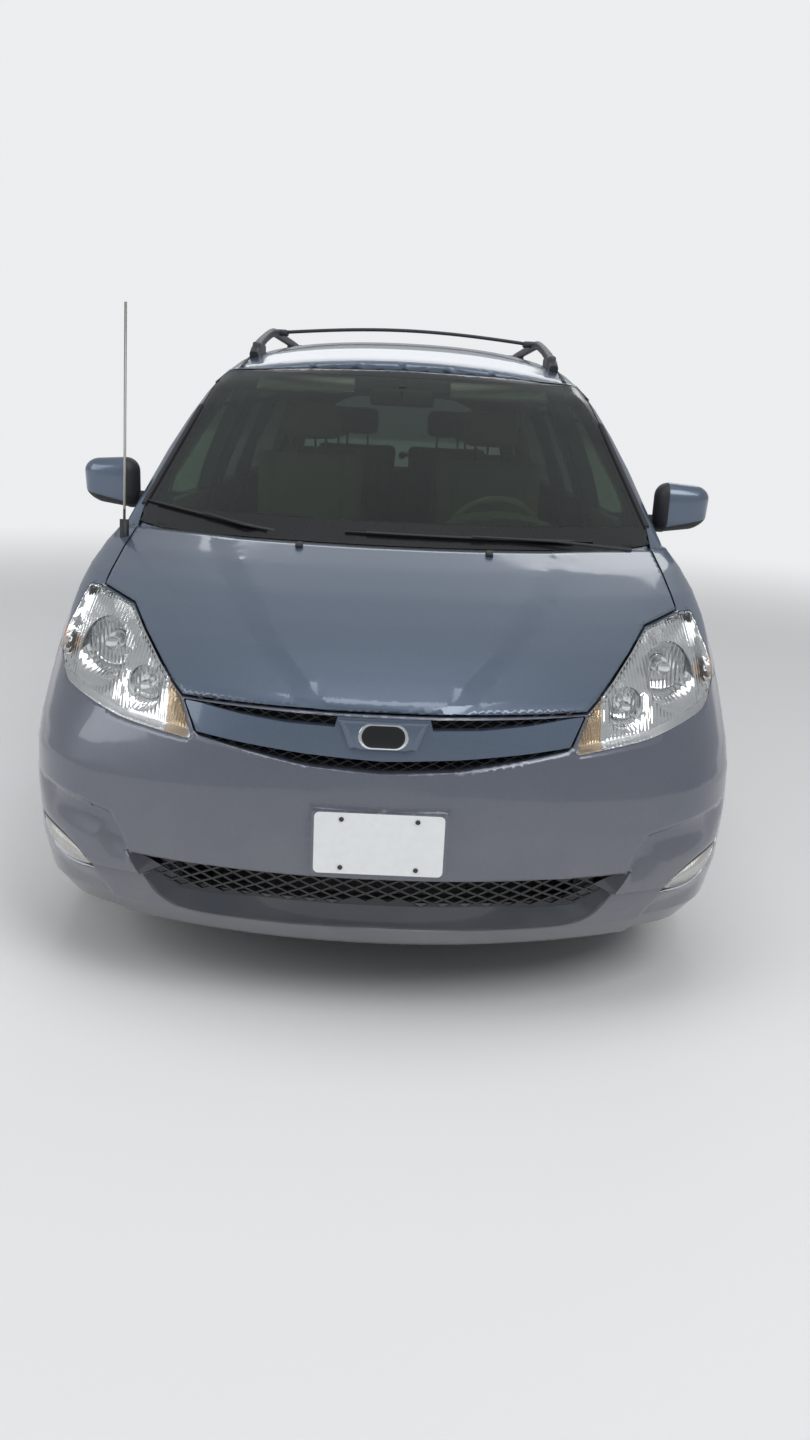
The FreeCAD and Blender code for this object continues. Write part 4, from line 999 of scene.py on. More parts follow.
@dataclass
class Glazing:
    """Windshield with its black border, and the side and rear glass."""

    border: float = 0.024
    foot: tuple[float, float] = (0.822, 1.142)
    head: tuple[float, float] = (0.680, 1.604)
    limits: tuple[float, float] = (1.150, 1.600)

    def build(self) -> None:
        """Make every pane."""
        self.windshield()
        for node, body, finish in (
                ("front_door_glass_left", "door_left", Finishes.SCREEN),
                ("front_door_glass_right", "door_right", Finishes.SCREEN),
                ("fixed_side_glass", "body", Finishes.PRIVACY),
                ("sliding_door_glass", "body", Finishes.PRIVACY),
                ("tailgate_glass", "tailgate", Finishes.PRIVACY)):
            finish_piece(cad_copy(node), node + "_pane", finish, body, (node,))
            LOG.info("pane %s", node)

    def windshield(self) -> None:
        """Cut the windshield along its border and blacken what is outside."""
        shape = softened(cad_copy("windshield"), 0.03, 6, 20.0)
        (xa, za), (xb, zb) = self.foot, self.head
        planes = []
        for sign in (1, -1):
            along = Vector((sign * (xb - xa), 0, zb - za)).normalized()
            out = Vector((along.z * sign, 0, -along.x * sign))
            planes.append((Vector((sign * (xa - self.border), 0, za)), out))
        low, high = self.limits
        planes.append((Vector((0, 0, high)), Vector((0, 0, 1))))
        planes.append((Vector((0, 0, low)), Vector((0, 0, -1))))
        cut_faces(shape, planes, 1)
        finish_piece(shape, "windshield_pane", [Finishes.SCREEN, Finishes.FRIT], "body",
                     ("windshield",))
        LOG.info("pane windshield")


@dataclass
class Carried:
    """CAD nodes that keep their shape and only take a finish."""

    rows: tuple[tuple[str, Finish], ...] = (
        ("cowl_panel", Finishes.BLACK),
        ("dashboard", Finishes.DASH), ("engine_block", Finishes.IRON),
        ("radiator", Finishes.BLACK), ("front_subframe", Finishes.IRON),
        ("rear_axle", Finishes.IRON), ("exhaust", Finishes.STEEL),
        ("fuel_tank", Finishes.BLACK), ("floor_pan", Finishes.IRON),
        ("knuckle_left", Finishes.IRON), ("knuckle_right", Finishes.IRON),
        ("steering_wheel", Finishes.DASH))

    def build(self) -> None:
        """Give each node its finish."""
        for node, finish in self.rows:
            mesh = FRAME["nodes"][node].data
            mesh.materials.clear()
            mesh.materials.append(Finishes.get(finish))


@dataclass
class RoofRails:
    """Two curved rails that rise from their feet, and the arched bars between them."""

    x: float = 0.566
    splay: float = 0.022
    ends: tuple[float, float] = (-0.44, 2.02)
    slope: float = 0.52
    rise: float = 0.070
    bars: tuple[float, float] = (0.18, 1.16)
    arch: float = 0.034
    rail: tuple[float, ...] = (0.013, 0.017, 0.010, 4)
    swell: tuple[float, float] = (0.35, 0.25)
    foot: tuple[float, float] = (0.030, 0.20)
    foot_in: float = 0.13
    bar: tuple[float, ...] = (0.018, 0.0065, 0.005, 3)
    bar_lift: float = 0.010
    clamp: Place3 = (0.058, 0.062, 0.026)
    edge: float = 0.009
    mast_z: float = 1.150

    def height(self, y: float) -> float:
        """How high the rail's middle stands above the roof at y."""
        away = min(y - self.ends[0], self.ends[1] - y)
        return 0.004 + self.rise * math.sin(math.pi / 2 * min(max(away / self.slope, 0), 1)) ** 0.8

    def build(self) -> None:
        """Make rails, feet, bars and clamps."""
        roof = Skin("roof_panel", "side_frames", "quarter_panels")
        first, last = self.ends
        up = Vector((0, 0, 1))

        def over(y: float) -> Vector:
            """The rail's middle at y, further out at its feet."""
            away = min(y - first, last - y)
            x = self.x + self.splay * (1 - eased(away / self.slope))
            point, _ = roof.top(x, y)
            return point + up * (roof_crown(x, y) + self.height(y))

        places = [first + (last - first) * eased(k / 40) for k in range(41)]
        path = [(over(y), up) for y in places]
        more, reach = self.swell
        sizes = [1.0 + more * max(1 - min(y - first, last - y) / reach, 0) for y in places]
        parts = [strip(path, self.rail, sizes)]
        for y in (first + self.foot_in, (first + last) / 2, last - self.foot_in):
            top = over(y)
            base, _ = roof.top(top.x, y)
            tall = top.z - base.z + 0.012
            parts.append(block((*self.foot, tall), shifted(
                (top.x, y, base.z + tall / 2 - 0.006)), self.edge, 3))
        shape = both_sides(joined(*parts))
        clamps = []
        for y in self.bars:
            end = over(y)
            span = [(k / 12 - 1) * (self.x - 0.012) for k in range(25)]
            level = end.z + self.bar_lift
            bar = [(Vector((x, y, level + self.arch * math.cos(math.pi / 2 * x / self.x))), up)
                   for x in span]
            clamps.append(strip(bar, self.bar))
            for sign in (1, -1):
                clamps.append(block(self.clamp, shifted(
                    (sign * (self.x - 0.016), y, level)), self.edge, 3))
        finish_piece(joined(shape, *clamps), "rails_and_bars", Finishes.TRIM, "body",
                     ("roof_rails",), 40.0)
        mast = cad_copy("antenna")
        cut_faces(mast, [(Vector((0, 0, self.mast_z)), up)], 1)
        finish_piece(mast, "antenna_mast", [Finishes.BLACK, Finishes.STEEL], "body",
                     ("antenna",), 40.0)
        LOG.info("roof rails and antenna")


@dataclass
class Wheels:
    """Four tyres with grooves and sipes, and their silver rims with caps and nuts."""

    half_tracks: tuple[float, float] = (0.832, 0.850)
    tyre_radius: float = 0.3395
    groove_depth: float = 0.007
    steps: int = 96
    wall: Corners = ((0.2065, 0.079), (0.222, 0.0885), (0.240, 0.1015), (0.268, 0.1068),
                     (0.296, 0.1065), (0.318, 0.1015), (0.331, 0.0935), (0.3365, 0.084))
    grooves: tuple[float, float] = (0.058, 0.020)
    groove_halves: tuple[float, float] = (0.0055, 0.004)
    tread_depth: float = 0.0045
    sipe: tuple[float, float] = (0.0011, 0.0018)
    nuts: int = 5
    nut_circle: float = 0.057
    cap_out: float = 0.056
    cap_profile: Corners = ((0.0, 0.012), (0.018, 0.0115), (0.027, 0.009), (0.031, 0.003),
                            (0.031, -0.004), (0.0, -0.004))
    nut_profile: Corners = ((0.0, 0.014), (0.006, 0.0135), (0.0095, 0.010), (0.0105, 0.0),
                            (0.0105, -0.004), (0.0, -0.004))

    def profile(self) -> list[tuple[float, float]]:
        """The tyre's section, as radius and distance outboard, with four grooves."""
        radius = self.tyre_radius
        right = list(self.wall)
        top, foot = self.groove_halves
        for centre in self.grooves:
            right += [(radius, centre + top), (radius - self.groove_depth, centre + foot),
                      (radius - self.groove_depth, centre - foot), (radius, centre - top)]
        return right + [(r, -x) for r, x in right[::-1]]

    def tyre(self, sign: int, half_track: float, axle_y: float) -> Shape:
        """One tyre, its ribs cut by sipes.

        Args:
            sign: The side, 1 for left.
            half_track: The wheel's distance from the middle.
            axle_y: The axle's place.

        Returns:
            The mesh.
        """
        width, height = self.sipe
        profile = self.profile()
        shape = turned(profile + profile[:1], Matrix.Identity(4), self.steps)
        ribs = [face for face in shape.faces
                if math.hypot(*face.calc_center_median()[:2]) > self.tyre_radius - self.tread_depth
                and face.normal.xy.length > 0.6]
        bmesh.ops.inset_individual(shape, faces=ribs, thickness=width, depth=0.0,
                                   use_even_offset=True)
        blocks = [face for face in ribs if face.is_valid]
        bmesh.ops.inset_individual(shape, faces=blocks, thickness=0.0, depth=height)
        bmesh.ops.transform(shape, matrix=hub_frame(sign, half_track, axle_y), verts=shape.verts)
        return shape

    def cap(self, sign: int, half_track: float, axle_y: float) -> Shape:
        """The centre cap and the wheel nuts, in front of the hub."""
        out = hub_frame(sign, half_track + self.cap_out, axle_y)
        parts = [turned(list(self.cap_profile), out)]
        for k in range(self.nuts):
            spot = Matrix.Rotation(math.tau * k / self.nuts, 4, "Z") @ shifted(
                (self.nut_circle, 0, 0))
            parts.append(turned(list(self.nut_profile), out @ spot, 6))
        return joined(*parts)

    def build(self) -> None:
        """Make the four wheels."""
        for place, axle_y, half_track in (("front", FRONT_AXLE_Y, self.half_tracks[0]),
                                          ("rear", REAR_AXLE_Y, self.half_tracks[1])):
            for side in Side:
                label = "%s_%s" % (place, side.name.lower())
                body = "wheel_" + label
                finish_piece(self.tyre(side.value, half_track, axle_y), "tread_" + label,
                             Finishes.TYRE, body, ("tyre_" + label,), 40.0)
                finish_piece(cad_copy("wheel_" + label), "rim_" + label, Finishes.ALLOY, body,
                             ("wheel_" + label,), 32.0)
                finish_piece(self.cap(side.value, half_track, axle_y), "cap_" + label,
                             Finishes.ALLOY, body)
                LOG.info("wheel %s", label)


@dataclass
class Headlamps:
    """Plated trays with bulbs behind clear lenses that have amber ends."""

    bowls: tuple[tuple[float, float, float, float], ...] = (
        (0.748, -1.985, 0.836, 0.020), (0.603, -2.225, 0.785, 0.014))
    amber_x: float = 0.884
    tip: tuple[float, float] = (0.470, 0.530)
    frosted: tuple[tuple[tuple[float, float], tuple[float, float]], ...] = (
        ((0.834, 0.786), (0.655, 0.743)), ((0.655, 0.743), (0.457, 0.722)))
    bulb: Corners = ((0.0, 0.062), (0.35, 0.060), (0.5, 0.050), (0.5, 0.0), (0.0, 0.0))
    bulb_cap: Corners = ((0.0, 0.078), (0.8, 0.074), (1.0, 0.064), (1.0, 0.058), (0.0, 0.058))
    bulb_foot: Corners = ((0.0, 0.012), (1.1, 0.012), (1.3, 0.0), (0.0, 0.0))
    bulb_inset: float = 0.015

    def build(self) -> None:
        """Make trays, bulbs and lenses."""
        tray = cad_copy("headlamp_housings")
        for sign in (1, -1):
            cut_faces(tray, [(Vector((sign * self.tip[1], 0, 0)), Vector((sign, 0, 0))),
                             (Vector((sign * self.tip[0], 0, 0)), Vector((-sign, 0, 0)))], 1,
                      inside=True)
        finish_piece(tray, "lamp_trays", [Finishes.BOWL, Finishes.AMBER_BOWL], "body",
                     ("headlamp_housings",), 35.0)
        shape = cad_copy("headlamp_lenses")
        for (xa, za), (xb, zb) in self.frosted:
            for sign in (1, -1):
                low = Vector((sign * (zb - za), 0, xa - xb)).normalized()
                low = low if low.z < 0 else -low
                cut_faces(shape, [(Vector((sign * xa, 0, za)), low)], 2)
        for sign in (1, -1):
            cut_faces(shape, [(Vector((sign * self.amber_x, 0, 0)), Vector((sign, 0, 0)))], 1)
        finish_piece(shape, "lamp_lenses", [Finishes.LENS, Finishes.AMBER_LENS,
                                            Finishes.FROSTED], "body", ("headlamp_lenses",), 35.0)
        self.bulbs()
        LOG.info("headlamps")

    def bulbs(self) -> None:
        """A bulb with a plated cap in the middle of each bowl."""
        caps, glasses = [], []
        for x, y, z, size in self.bowls:
            place = shifted((x, y + self.bulb_inset, z)) @ Matrix.Rotation(math.pi / 2, 4, "X")
            for parts, profile, steps in ((glasses, self.bulb, 20), (caps, self.bulb_cap, 24),
                                          (caps, self.bulb_foot, 24)):
                parts.append(turned([(size * r, h) for r, h in profile], place, steps))
        finish_piece(both_sides(joined(*caps)), "bulb_caps", Finishes.CHROME)
        finish_piece(both_sides(joined(*glasses)), "bulb_glasses", Finishes.LENS)


@dataclass
class FogLamps:
    """Pale leaf-shaped lamps in dark recesses, with a bright lower blade."""

    shrink: Place3 = (0.93, 0.93, 0.93 * 0.86)
    centre: Place3 = (0.805, -2.300, 0.376)
    way: Place3 = (0.62, -0.75, -0.05)
    proud: float = 0.0045
    blade: tuple[Place3, Place3] = ((0.716, 0.177, 0.022), (0.334, 0.089, -0.032))

    def build(self) -> None:
        """Make the recess, the lens and the blade of both lamps."""
        finish_piece(cad_copy("fog_lamps"), "fog_recess", Finishes.BLACK, "body",
                     ("fog_lamps",))
        lens = cad_copy("fog_lamps")
        for sign in (1, -1):
            half = [v for v in lens.verts if v.co.x * sign > 0]
            flip = Matrix.Diagonal((sign, 1, 1))
            way = (flip @ Vector(self.way)).normalized()
            bmesh.ops.scale(lens, vec=self.shrink, space=shifted(-(flip @ Vector(self.centre))),
                            verts=half)
            bmesh.ops.translate(lens, vec=way * self.proud, verts=half)
        finish_piece(lens, "fog_lens", Finishes.FOG, smooth=50.0)
        skin = Skin("front_bumper", "fog_lamps")
        path = []
        for k in range(15):
            t = k / 14
            path.append(skin.front(*(start + length * t + bow * math.sin(math.pi * t)
                                     for start, length, bow in self.blade)))
        blade = strip(path, (0.0035, 0.0030, 0.0015, 2), [0.3, 0.7] + [1.0] * 11 + [0.7, 0.3])
        finish_piece(both_sides(blade), "fog_blades", Finishes.BLADE)
        LOG.info("fog lamps")


def curved(points: Outline, rounds: int = 2) -> Outline:
    """A path with its corners cut off again and again, its ends kept."""
    for _ in range(rounds):
        cut = [points[0]]
        for (xa, za), (xb, zb) in zip(points, points[1:]):
            cut.append((0.75 * xa + 0.25 * xb, 0.75 * za + 0.25 * zb))
            cut.append((0.25 * xa + 0.75 * xb, 0.25 * za + 0.75 * zb))
        points = cut + [points[-1]]
    return points


def loft(sections: list[list[Vector]]) -> Shape:
    """Join closed sections of equal length, one after another, and close both ends.

    Args:
        sections: The sections' corners.

    Returns:
        The closed mesh.
    """
    shape = bmesh.new()
    loops = []
    for section in sections:
        verts = [shape.verts.new(point) for point in section]
        loops.append([shape.edges.new(pair) for pair in zip(verts, verts[1:] + verts[:1])])
    for before, after in zip(loops, loops[1:]):
        bmesh.ops.bridge_loops(shape, edges=before + after)
    for end in (loops[0], loops[-1]):
        bmesh.ops.edgeloop_fill(shape, edges=end)
    bmesh.ops.recalc_face_normals(shape, faces=shape.faces)
    return shape


@dataclass
class GrillePad:
    """The raised pad in the middle of the grille bar, with a plain blank badge."""

    outline: Corners = (
        (0.108, 0.035), (-0.108, 0.035), (-0.098, 0.020), (-0.078, -0.030), (-0.060, -0.035),
        (0.060, -0.035), (0.078, -0.030), (0.098, 0.020))
    z: float = 0.750
    levels: Corners = (
        (-0.012, 1.0), (0.002, 1.0), (0.008, 0.93), (0.0115, 0.86), (0.012, 0.82))
    badge: Place3 = (0.058, 0.0295, 0.0285)
    rim: Corners = (
        (0.008, 1.0), (0.013, 1.0), (0.0150, 0.97), (0.0155, 0.93))
    face: Corners = (
        (0.009, 0.87), (0.0170, 0.87), (0.0185, 0.84), (0.0195, 0.74), (0.0200, 0.50))

    def build(self) -> None:
        """Make the pad and the plain badge on it."""
        place = stand(*Skin("grille_bar").front(0.0, self.z))
        finish_piece(stacked(place, self.levels, list(self.outline)), "grille_pad",
                     Finishes.PAINT, smooth=20.0)
        for name, finish, levels in (("badge_rim", Finishes.CHROME, self.rim),
                                     ("badge_face", Finishes.FRIT, self.face)):
            finish_piece(stacked(place, levels, rounded(*self.badge, 8)), name, finish, "body",
                         smooth=40.0)
        LOG.info("grille pad")


@dataclass
class GrilleNet:
    """A fine diamond net behind the grille bar; the intake keeps the mesh of the CAD."""

    cell: tuple[float, float] = (0.040, 0.019)
    wire: float = 0.0012
    half: float = 0.462
    low: Corners = (
        (0.0, 0.655), (0.175, 0.662), (0.330, 0.686), (0.440, 0.706), (0.470, 0.726))
    foot: float = 0.65
    high: float = 0.806
    steps: int = 24
    split_z: float = 0.58

    def floor(self, x: float) -> float:
        """The net's lower edge at x."""
        x = abs(x)
        for (xa, za), (xb, zb) in zip(self.low, self.low[1:]):
            if x <= xb:
                return za + (zb - za) * (x - xa) / (xb - xa)
        return self.low[-1][1]

    def build(self) -> None:
        """Lay the wires in two directions and keep the lower mesh."""
        skin = Skin("grille_mesh")
        wide, tall = self.cell
        height = self.high - self.foot
        reach = height * wide / tall
        count = int((2 * self.half + reach) / wide) + 2
        wires = []
        for sign in (1, -1):
            for k in range(count):
                start = -self.half - reach + k * wide
                path = []
                for step in range(self.steps + 1):
                    share = step / self.steps
                    x = sign * (start + reach * share)
                    z = self.foot + height * share
                    if abs(x) < self.half and z > self.floor(x):
                        point, _, _, _ = skin.tree.find_nearest(Vector((x, -2.52, z)))
                        path.append((Vector((x, point.y, z)), Vector((0, -1, 0))))
                if len(path) > 1:
                    wires.append(sweep(frames_along(path),
                                       rounded(self.wire, self.wire, 0.0004, 1)[::2]))
        finish_piece(joined(*wires), "grille_net", Finishes.WIRE)
        lower = cad_copy("grille_mesh")
        bmesh.ops.delete(lower, geom=[v for v in lower.verts if v.co.z > self.split_z],
                         context="VERTS")
        finish_piece(lower, "intake_mesh", Finishes.WIRE, "body", ("grille_mesh",))
        LOG.info("grille net")


@dataclass
class IntakeBand:
    """The painted hollow band round the intake's lower side, from its lip to the mesh."""

    lip: Corners = (
        (0.0, 0.273), (0.330, 0.268), (0.480, 0.268), (0.540, 0.296), (0.562, 0.318),
        (0.584, 0.345), (0.601, 0.368), (0.617, 0.391), (0.626, 0.403))
    edge: Corners = (
        (0.0, 0.331), (0.281, 0.330), (0.400, 0.326), (0.458, 0.331), (0.500, 0.346),
        (0.530, 0.367), (0.562, 0.386), (0.592, 0.397), (0.614, 0.402))
    gap: float = 0.005
    depths: tuple[float, float] = (0.008, 0.036)
    end_fade: tuple[float, float] = (0.632, -0.05)
    end_share: float = 0.15
    sink: float = 0.0015
    wall: float = 0.003
    front: tuple[float, ...] = (0.05, 0.12, 0.25, 0.42, 0.62, 0.82, 1.0)
    rim: Corners = ((-0.16, 0.003), (-0.10, -0.001), (-0.03, -0.0028))

    def section(self, skin: Skin, mesh: Skin, lip: tuple[float, float],
                edge: tuple[float, float]) -> list[Vector]:
        """The band's section between a point on the lip and one at the mesh.

        Args:
            skin: The bumper's outside.
            mesh: The mesh behind the opening.
            lip: The lip's x and z.
            edge: The inner edge's x and z.

        Returns:
            The section's corners.
        """
        def between(share: float) -> tuple[float, float]:
            return (lip[0] + (edge[0] - lip[0]) * share, lip[1] + (edge[1] - lip[1]) * share)

        outer, _ = skin.front(*lip)
        inner, _, _, _ = mesh.tree.find_nearest(Vector((edge[0], outer.y, edge[1])))
        least, most = self.depths
        deep = min(max(inner.y - self.gap - outer.y, least), most)
        deep *= self.end_share + (1 - self.end_share) * faded(abs(lip[0]), self.end_fade)
        points = []
        for share, lift in self.rim:
            x, z = between(share)
            points.append(Vector((x, skin.front(x, z)[0].y + lift, z)))
        for share in self.front:
            x, z = between(share)
            points.append(Vector((x, outer.y - self.sink + deep * (1 - (1 - share) ** 2), z)))
        for share in self.front[::-2]:
            x, z = between(share)
            points.append(Vector((x, outer.y + self.wall + deep * (1 - (1 - share) ** 2), z)))
        return points

    def build(self) -> None:
        """Loft the band across the bumper."""
        skin, mesh = Skin("front_bumper"), Skin("grille_mesh")
        lips, edges = curved(list(self.lip)), curved(list(self.edge))
        pairs = [((-a[0], a[1]), (-b[0], b[1])) for a, b in zip(lips, edges)][:0:-1]
        pairs += list(zip(lips, edges))
        shape = loft([self.section(skin, mesh, lip, edge) for lip, edge in pairs])
        # The band takes the darkened copy of the bumper paint: painted shade for its hollow.
        finish_piece(shape, "intake_band", Finishes.SHADED_BAND, smooth=50.0)
        LOG.info("intake band")


@dataclass
class Plate:
    """A bare registration plate with a pressed rim and its four screws."""

    name: str
    centre: Place3
    body: str
    facing: int
    size: tuple[float, float] = (0.305, 0.152)
    screws: tuple[float, float] = (0.089, 0.0603)
    corner: float = 0.012
    rim: float = 0.004
    pressed: tuple[float, float] = (0.0025, -0.0012)
    wall: float = 0.0012
    off: float = 0.0022
    head_off: float = 0.0015
    head: Corners = ((0.0, 0.0045), (0.003, 0.0043), (0.0052, 0.0030), (0.0060, 0.0008),
                     (0.0, 0.0008))

    def build(self) -> None:
        """Make the plate and its screws."""
        place = stand(Vector(self.centre), Vector((0, self.facing, 0)))
        plate = bmesh.new()
        bmesh.ops.create_grid(plate, x_segments=1, y_segments=1, size=0.5)
        bmesh.ops.scale(plate, vec=(self.size[0], self.size[1], 1), verts=plate.verts)
        bmesh.ops.bevel(plate, geom=plate.verts[:], offset=self.corner, segments=5, profile=0.5,
                        affect="VERTICES", material=-1)
        bmesh.ops.inset_region(plate, faces=plate.faces[:], thickness=self.rim, depth=0.0)
        middle = [max(plate.faces, key=lambda face: face.calc_area())]
        width, depth = self.pressed
        bmesh.ops.inset_region(plate, faces=middle, thickness=width, depth=depth)
        bmesh.ops.solidify(plate, geom=plate.faces[:], thickness=self.wall)
        bmesh.ops.transform(plate, matrix=place @ shifted((0, 0, self.off)), verts=plate.verts)
        bmesh.ops.recalc_face_normals(plate, faces=plate.faces)
        finish_piece(plate, self.name, Finishes.PLATE, self.body)
        heads = []
        for sx in (-1, 1):
            for sz in (-1, 1):
                spot = (sx * self.screws[0], sz * self.screws[1], self.head_off)
                heads.append(turned(list(self.head), place @ shifted(spot), 16))
        finish_piece(joined(*heads), self.name + "_screws", Finishes.BLACK, self.body)
        LOG.info("plate %s", self.name)


@dataclass
class Wipers:
    """Two wipers at rest along the windshield's foot, and the washer nozzles."""

    blades: tuple[tuple[tuple[float, float], tuple[float, float], float], ...] = (
        ((-0.812, 1.158), (-0.392, 1.108), 0.14), ((-0.150, 1.116), (0.620, 1.108), 0.12))
    nozzles: Corners = ((-0.276, -1.736), (0.279, -1.737))
    joints: tuple[tuple[int, float, float], ...] = (
        (6, -0.009, 0.012), (10, -0.016, 0.006), (12, -0.016, -0.014))

    def build(self) -> None:
        """Make blades, arms and nozzles."""
        screen = Skin("windshield", "cowl_panel")
        parts = []
        for first, last, reach in self.blades:
            path = spaced(screen.front, first, last)
            parts.append(strip(path, (0.002, 0.004, 0.001, 1), lift=0.004))
            parts.append(strip(path[1:-1], (0.0045, 0.0018, 0.001, 1), lift=0.009))
            arm = [(path[k][0] + Vector((reach if k == SWEEP_STEPS else 0, out, up)),
                    Vector((0, -0.7, 0.7))) for k, out, up in self.joints]
            parts.append(strip(arm, (0.0045, 0.003, 0.002, 1), [0.7, 1.0, 1.5]))
        finish_piece(joined(*parts), "wipers", Finishes.BLACK)
        hood = Skin("hood")
        jets = []
        for x, y in self.nozzles:
            point, normal = hood.top(x, y)
            jets.append(block((0.022, 0.030, 0.014), stand(point, normal, Vector((0, 1, 0)))
                              @ shifted((0, 0, 0.004)), 0.005, 3))
        finish_piece(joined(*jets), "washer_nozzles", Finishes.BLACK, "hood")
        LOG.info("wipers")


@dataclass
class Mouldings:
    """Black strips round the screen, along the roof, the belt and the sliding tracks."""

    belt_z: float = 1.112
    track_z: float = 1.015

    def build(self) -> None:
        """Make every strip."""
        front = Skin("windshield", "side_frames", "roof_panel").front
        roof = Skin("roof_panel", "side_frames", "quarter_panels").top
        side = partial(Skin("sliding_doors", "quarter_panels", "side_frames").side, 1)
        belt, track = self.belt_z, self.track_z
        for name, find, first, last, steps, half, rise in (
                ("screen_moulding", front, (0.824, 1.150), (0.680, 1.600), 10, 0.009, 0.006),
                ("roof_moulding", roof, (0.612, -0.600), (0.612, 2.240), 24, 0.007, 0.004),
                ("slide_track", side, (1.06, track), (2.20, track), 12, 0.012, 0.0025),
                ("belt_moulding_rear", side, (0.01, belt), (0.95, belt), 12, 0.010, 0.005)):
            shape = strip(spaced(find, first, last, steps),
                          (half, rise, min(half, rise) * 0.6, 2))
            finish_piece(both_sides(shape), name, Finishes.BLACK)
        for side in Side:
            name = side.name.lower()
            door = partial(Skin("front_door_" + name).side, side.value)
            shape = strip(spaced(door, (-0.985, belt), (-0.105, belt)),
                          (0.010, 0.005, 0.003, 2))
            finish_piece(shape, "belt_moulding_door_" + name, Finishes.BLACK, "door_" + name)
        LOG.info("mouldings")


@dataclass
class DoorHandles:
    """Bow handles in the body colour, each over a dark cup."""

    places: tuple[tuple[str, str, float], ...] = (
        ("front_door", "door", -0.170), ("sliding_doors", "body", 0.120))
    height: float = 0.965
    bow: float = 0.036
    half: float = 0.098

    def handle(self, point: Vector, normal: Vector) -> Shape:
        """One bow handle that stands on the skin."""
        path = []
        for k in range(SWEEP_STEPS + 1):
            t = k / SWEEP_STEPS * 2 - 1
            lift = self.bow * max(1 - abs(t) ** 3.5, 0.0)
            path.append((point + Vector((0, self.half * t, 0)) + normal * lift, normal))
        return strip(path, (0.014, 0.007, 0.006, 3))

    def build(self) -> None:
        """Make the handles of all four doors."""
        for side in Side:
            for node, kind, y in self.places:
                name = side.name.lower()
                skin = Skin("front_door_" + name if kind == "door" else node)
                body = "door_" + name if kind == "door" else "body"
                point, normal = skin.side(side.value, y, self.height)
                label = "%s_%s" % (node, name)
                finish_piece(self.handle(point, normal), "handle_" + label, Finishes.PAINT, body)
                cup = turned([(0.0, 0.0012), (0.030, 0.0012), (0.034, 0.0), (0.0, -0.002)],
                             stand(point, normal) @ Matrix.Diagonal((1.5, 0.8, 1, 1)), 32)
                finish_piece(cup, "cup_" + label, Finishes.BLACK, body)
        LOG.info("door handles")


@dataclass
class Mirrors:
    """Rounded door mirrors in the body colour with a dark foot and glass behind."""

    centre: tuple[float, float] = (0.990, 1.200)
    size: Place3 = (0.190, 0.112, 0.176)
    line: tuple[float, float] = (1.136, 0.22)
    inboard_x: float = 0.936
    edge: float = 0.050
    narrow: tuple[float, float] = (0.16, 1.6)
    tuck: float = 0.020
    rake: float = 0.026
    foot: Place3 = (0.130, 0.052, 0.058)
    foot_place: Place3 = (0.884, 0.074, 1.142)

    def shell(self, sign: int, front_y: float) -> Shape:
        """The housing: a rounded block that narrows outboard and downwards.

        Args:
            sign: The side, 1 for left.
            front_y: The housing's front.

        Returns:
            The mesh.
        """
        wide, deep, tall = self.size
        narrow, more_below = self.narrow
        shape = block(self.size, Matrix.Identity(4), self.edge, 8)
        for vert in shape.verts:
            out = vert.co.x / wide + 0.5
            low = max(-vert.co.z / (tall / 2), 0.0)
            vert.co.z *= 1.0 - narrow * out * (1.0 if vert.co.z > 0 else more_below)
            vert.co.x -= self.tuck * low ** 2 * out
            vert.co.y += self.rake * out ** 2 * (0.5 - vert.co.y / deep)
        bmesh.ops.scale(shape, vec=(sign, 1, 1), verts=shape.verts)
        if sign < 0:
            bmesh.ops.reverse_faces(shape, faces=shape.faces[:])
        bmesh.ops.translate(shape, verts=shape.verts, vec=(
            sign * self.centre[0], front_y + deep / 2, self.centre[1]))
        return shape

    def build(self) -> None:
        """Make both mirrors."""
        for side in Side:
            sign, name = side.value, side.name.lower()
            front_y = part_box("mirror_" + name)[0][1]
            shape = self.shell(sign, front_y)
            cut_faces(shape, [(Vector((sign * self.inboard_x, 0, self.line[0])),
                               Vector((sign * self.line[1], 0, -1))),
                              (Vector((sign * self.inboard_x, 0, 0)), Vector((-sign, 0, 0)))], 1)
            finish_piece(shape, "mirror_shell_" + name, [Finishes.PAINT, Finishes.BLACK],
                         "door_" + name, ("mirror_" + name,), 40.0)
            x, y, z = self.foot_place
            foot = block(self.foot, shifted((sign * x, front_y + y, z)), 0.018, 4)
            finish_piece(foot, "mirror_foot_" + name, Finishes.BLACK, "door_" + name)
            place = stand(Vector((sign * self.centre[0], front_y + self.size[1] - 0.002,
                                  self.centre[1])), Vector((0, 1, 0)))
            rim = stacked(place, ((-0.010, 1.0), (0.004, 1.0)), rounded(0.074, 0.062, 0.030, 6))
            finish_piece(rim, "mirror_rim_" + name, Finishes.BLACK, "door_" + name)
            pane = stacked(place, ((0.001, 1.0), (0.0055, 1.0)), rounded(0.068, 0.056, 0.026, 6))
            finish_piece(pane, "mirror_pane_" + name, Finishes.MIRROR, "door_" + name)
            LOG.info("mirror %s", name)


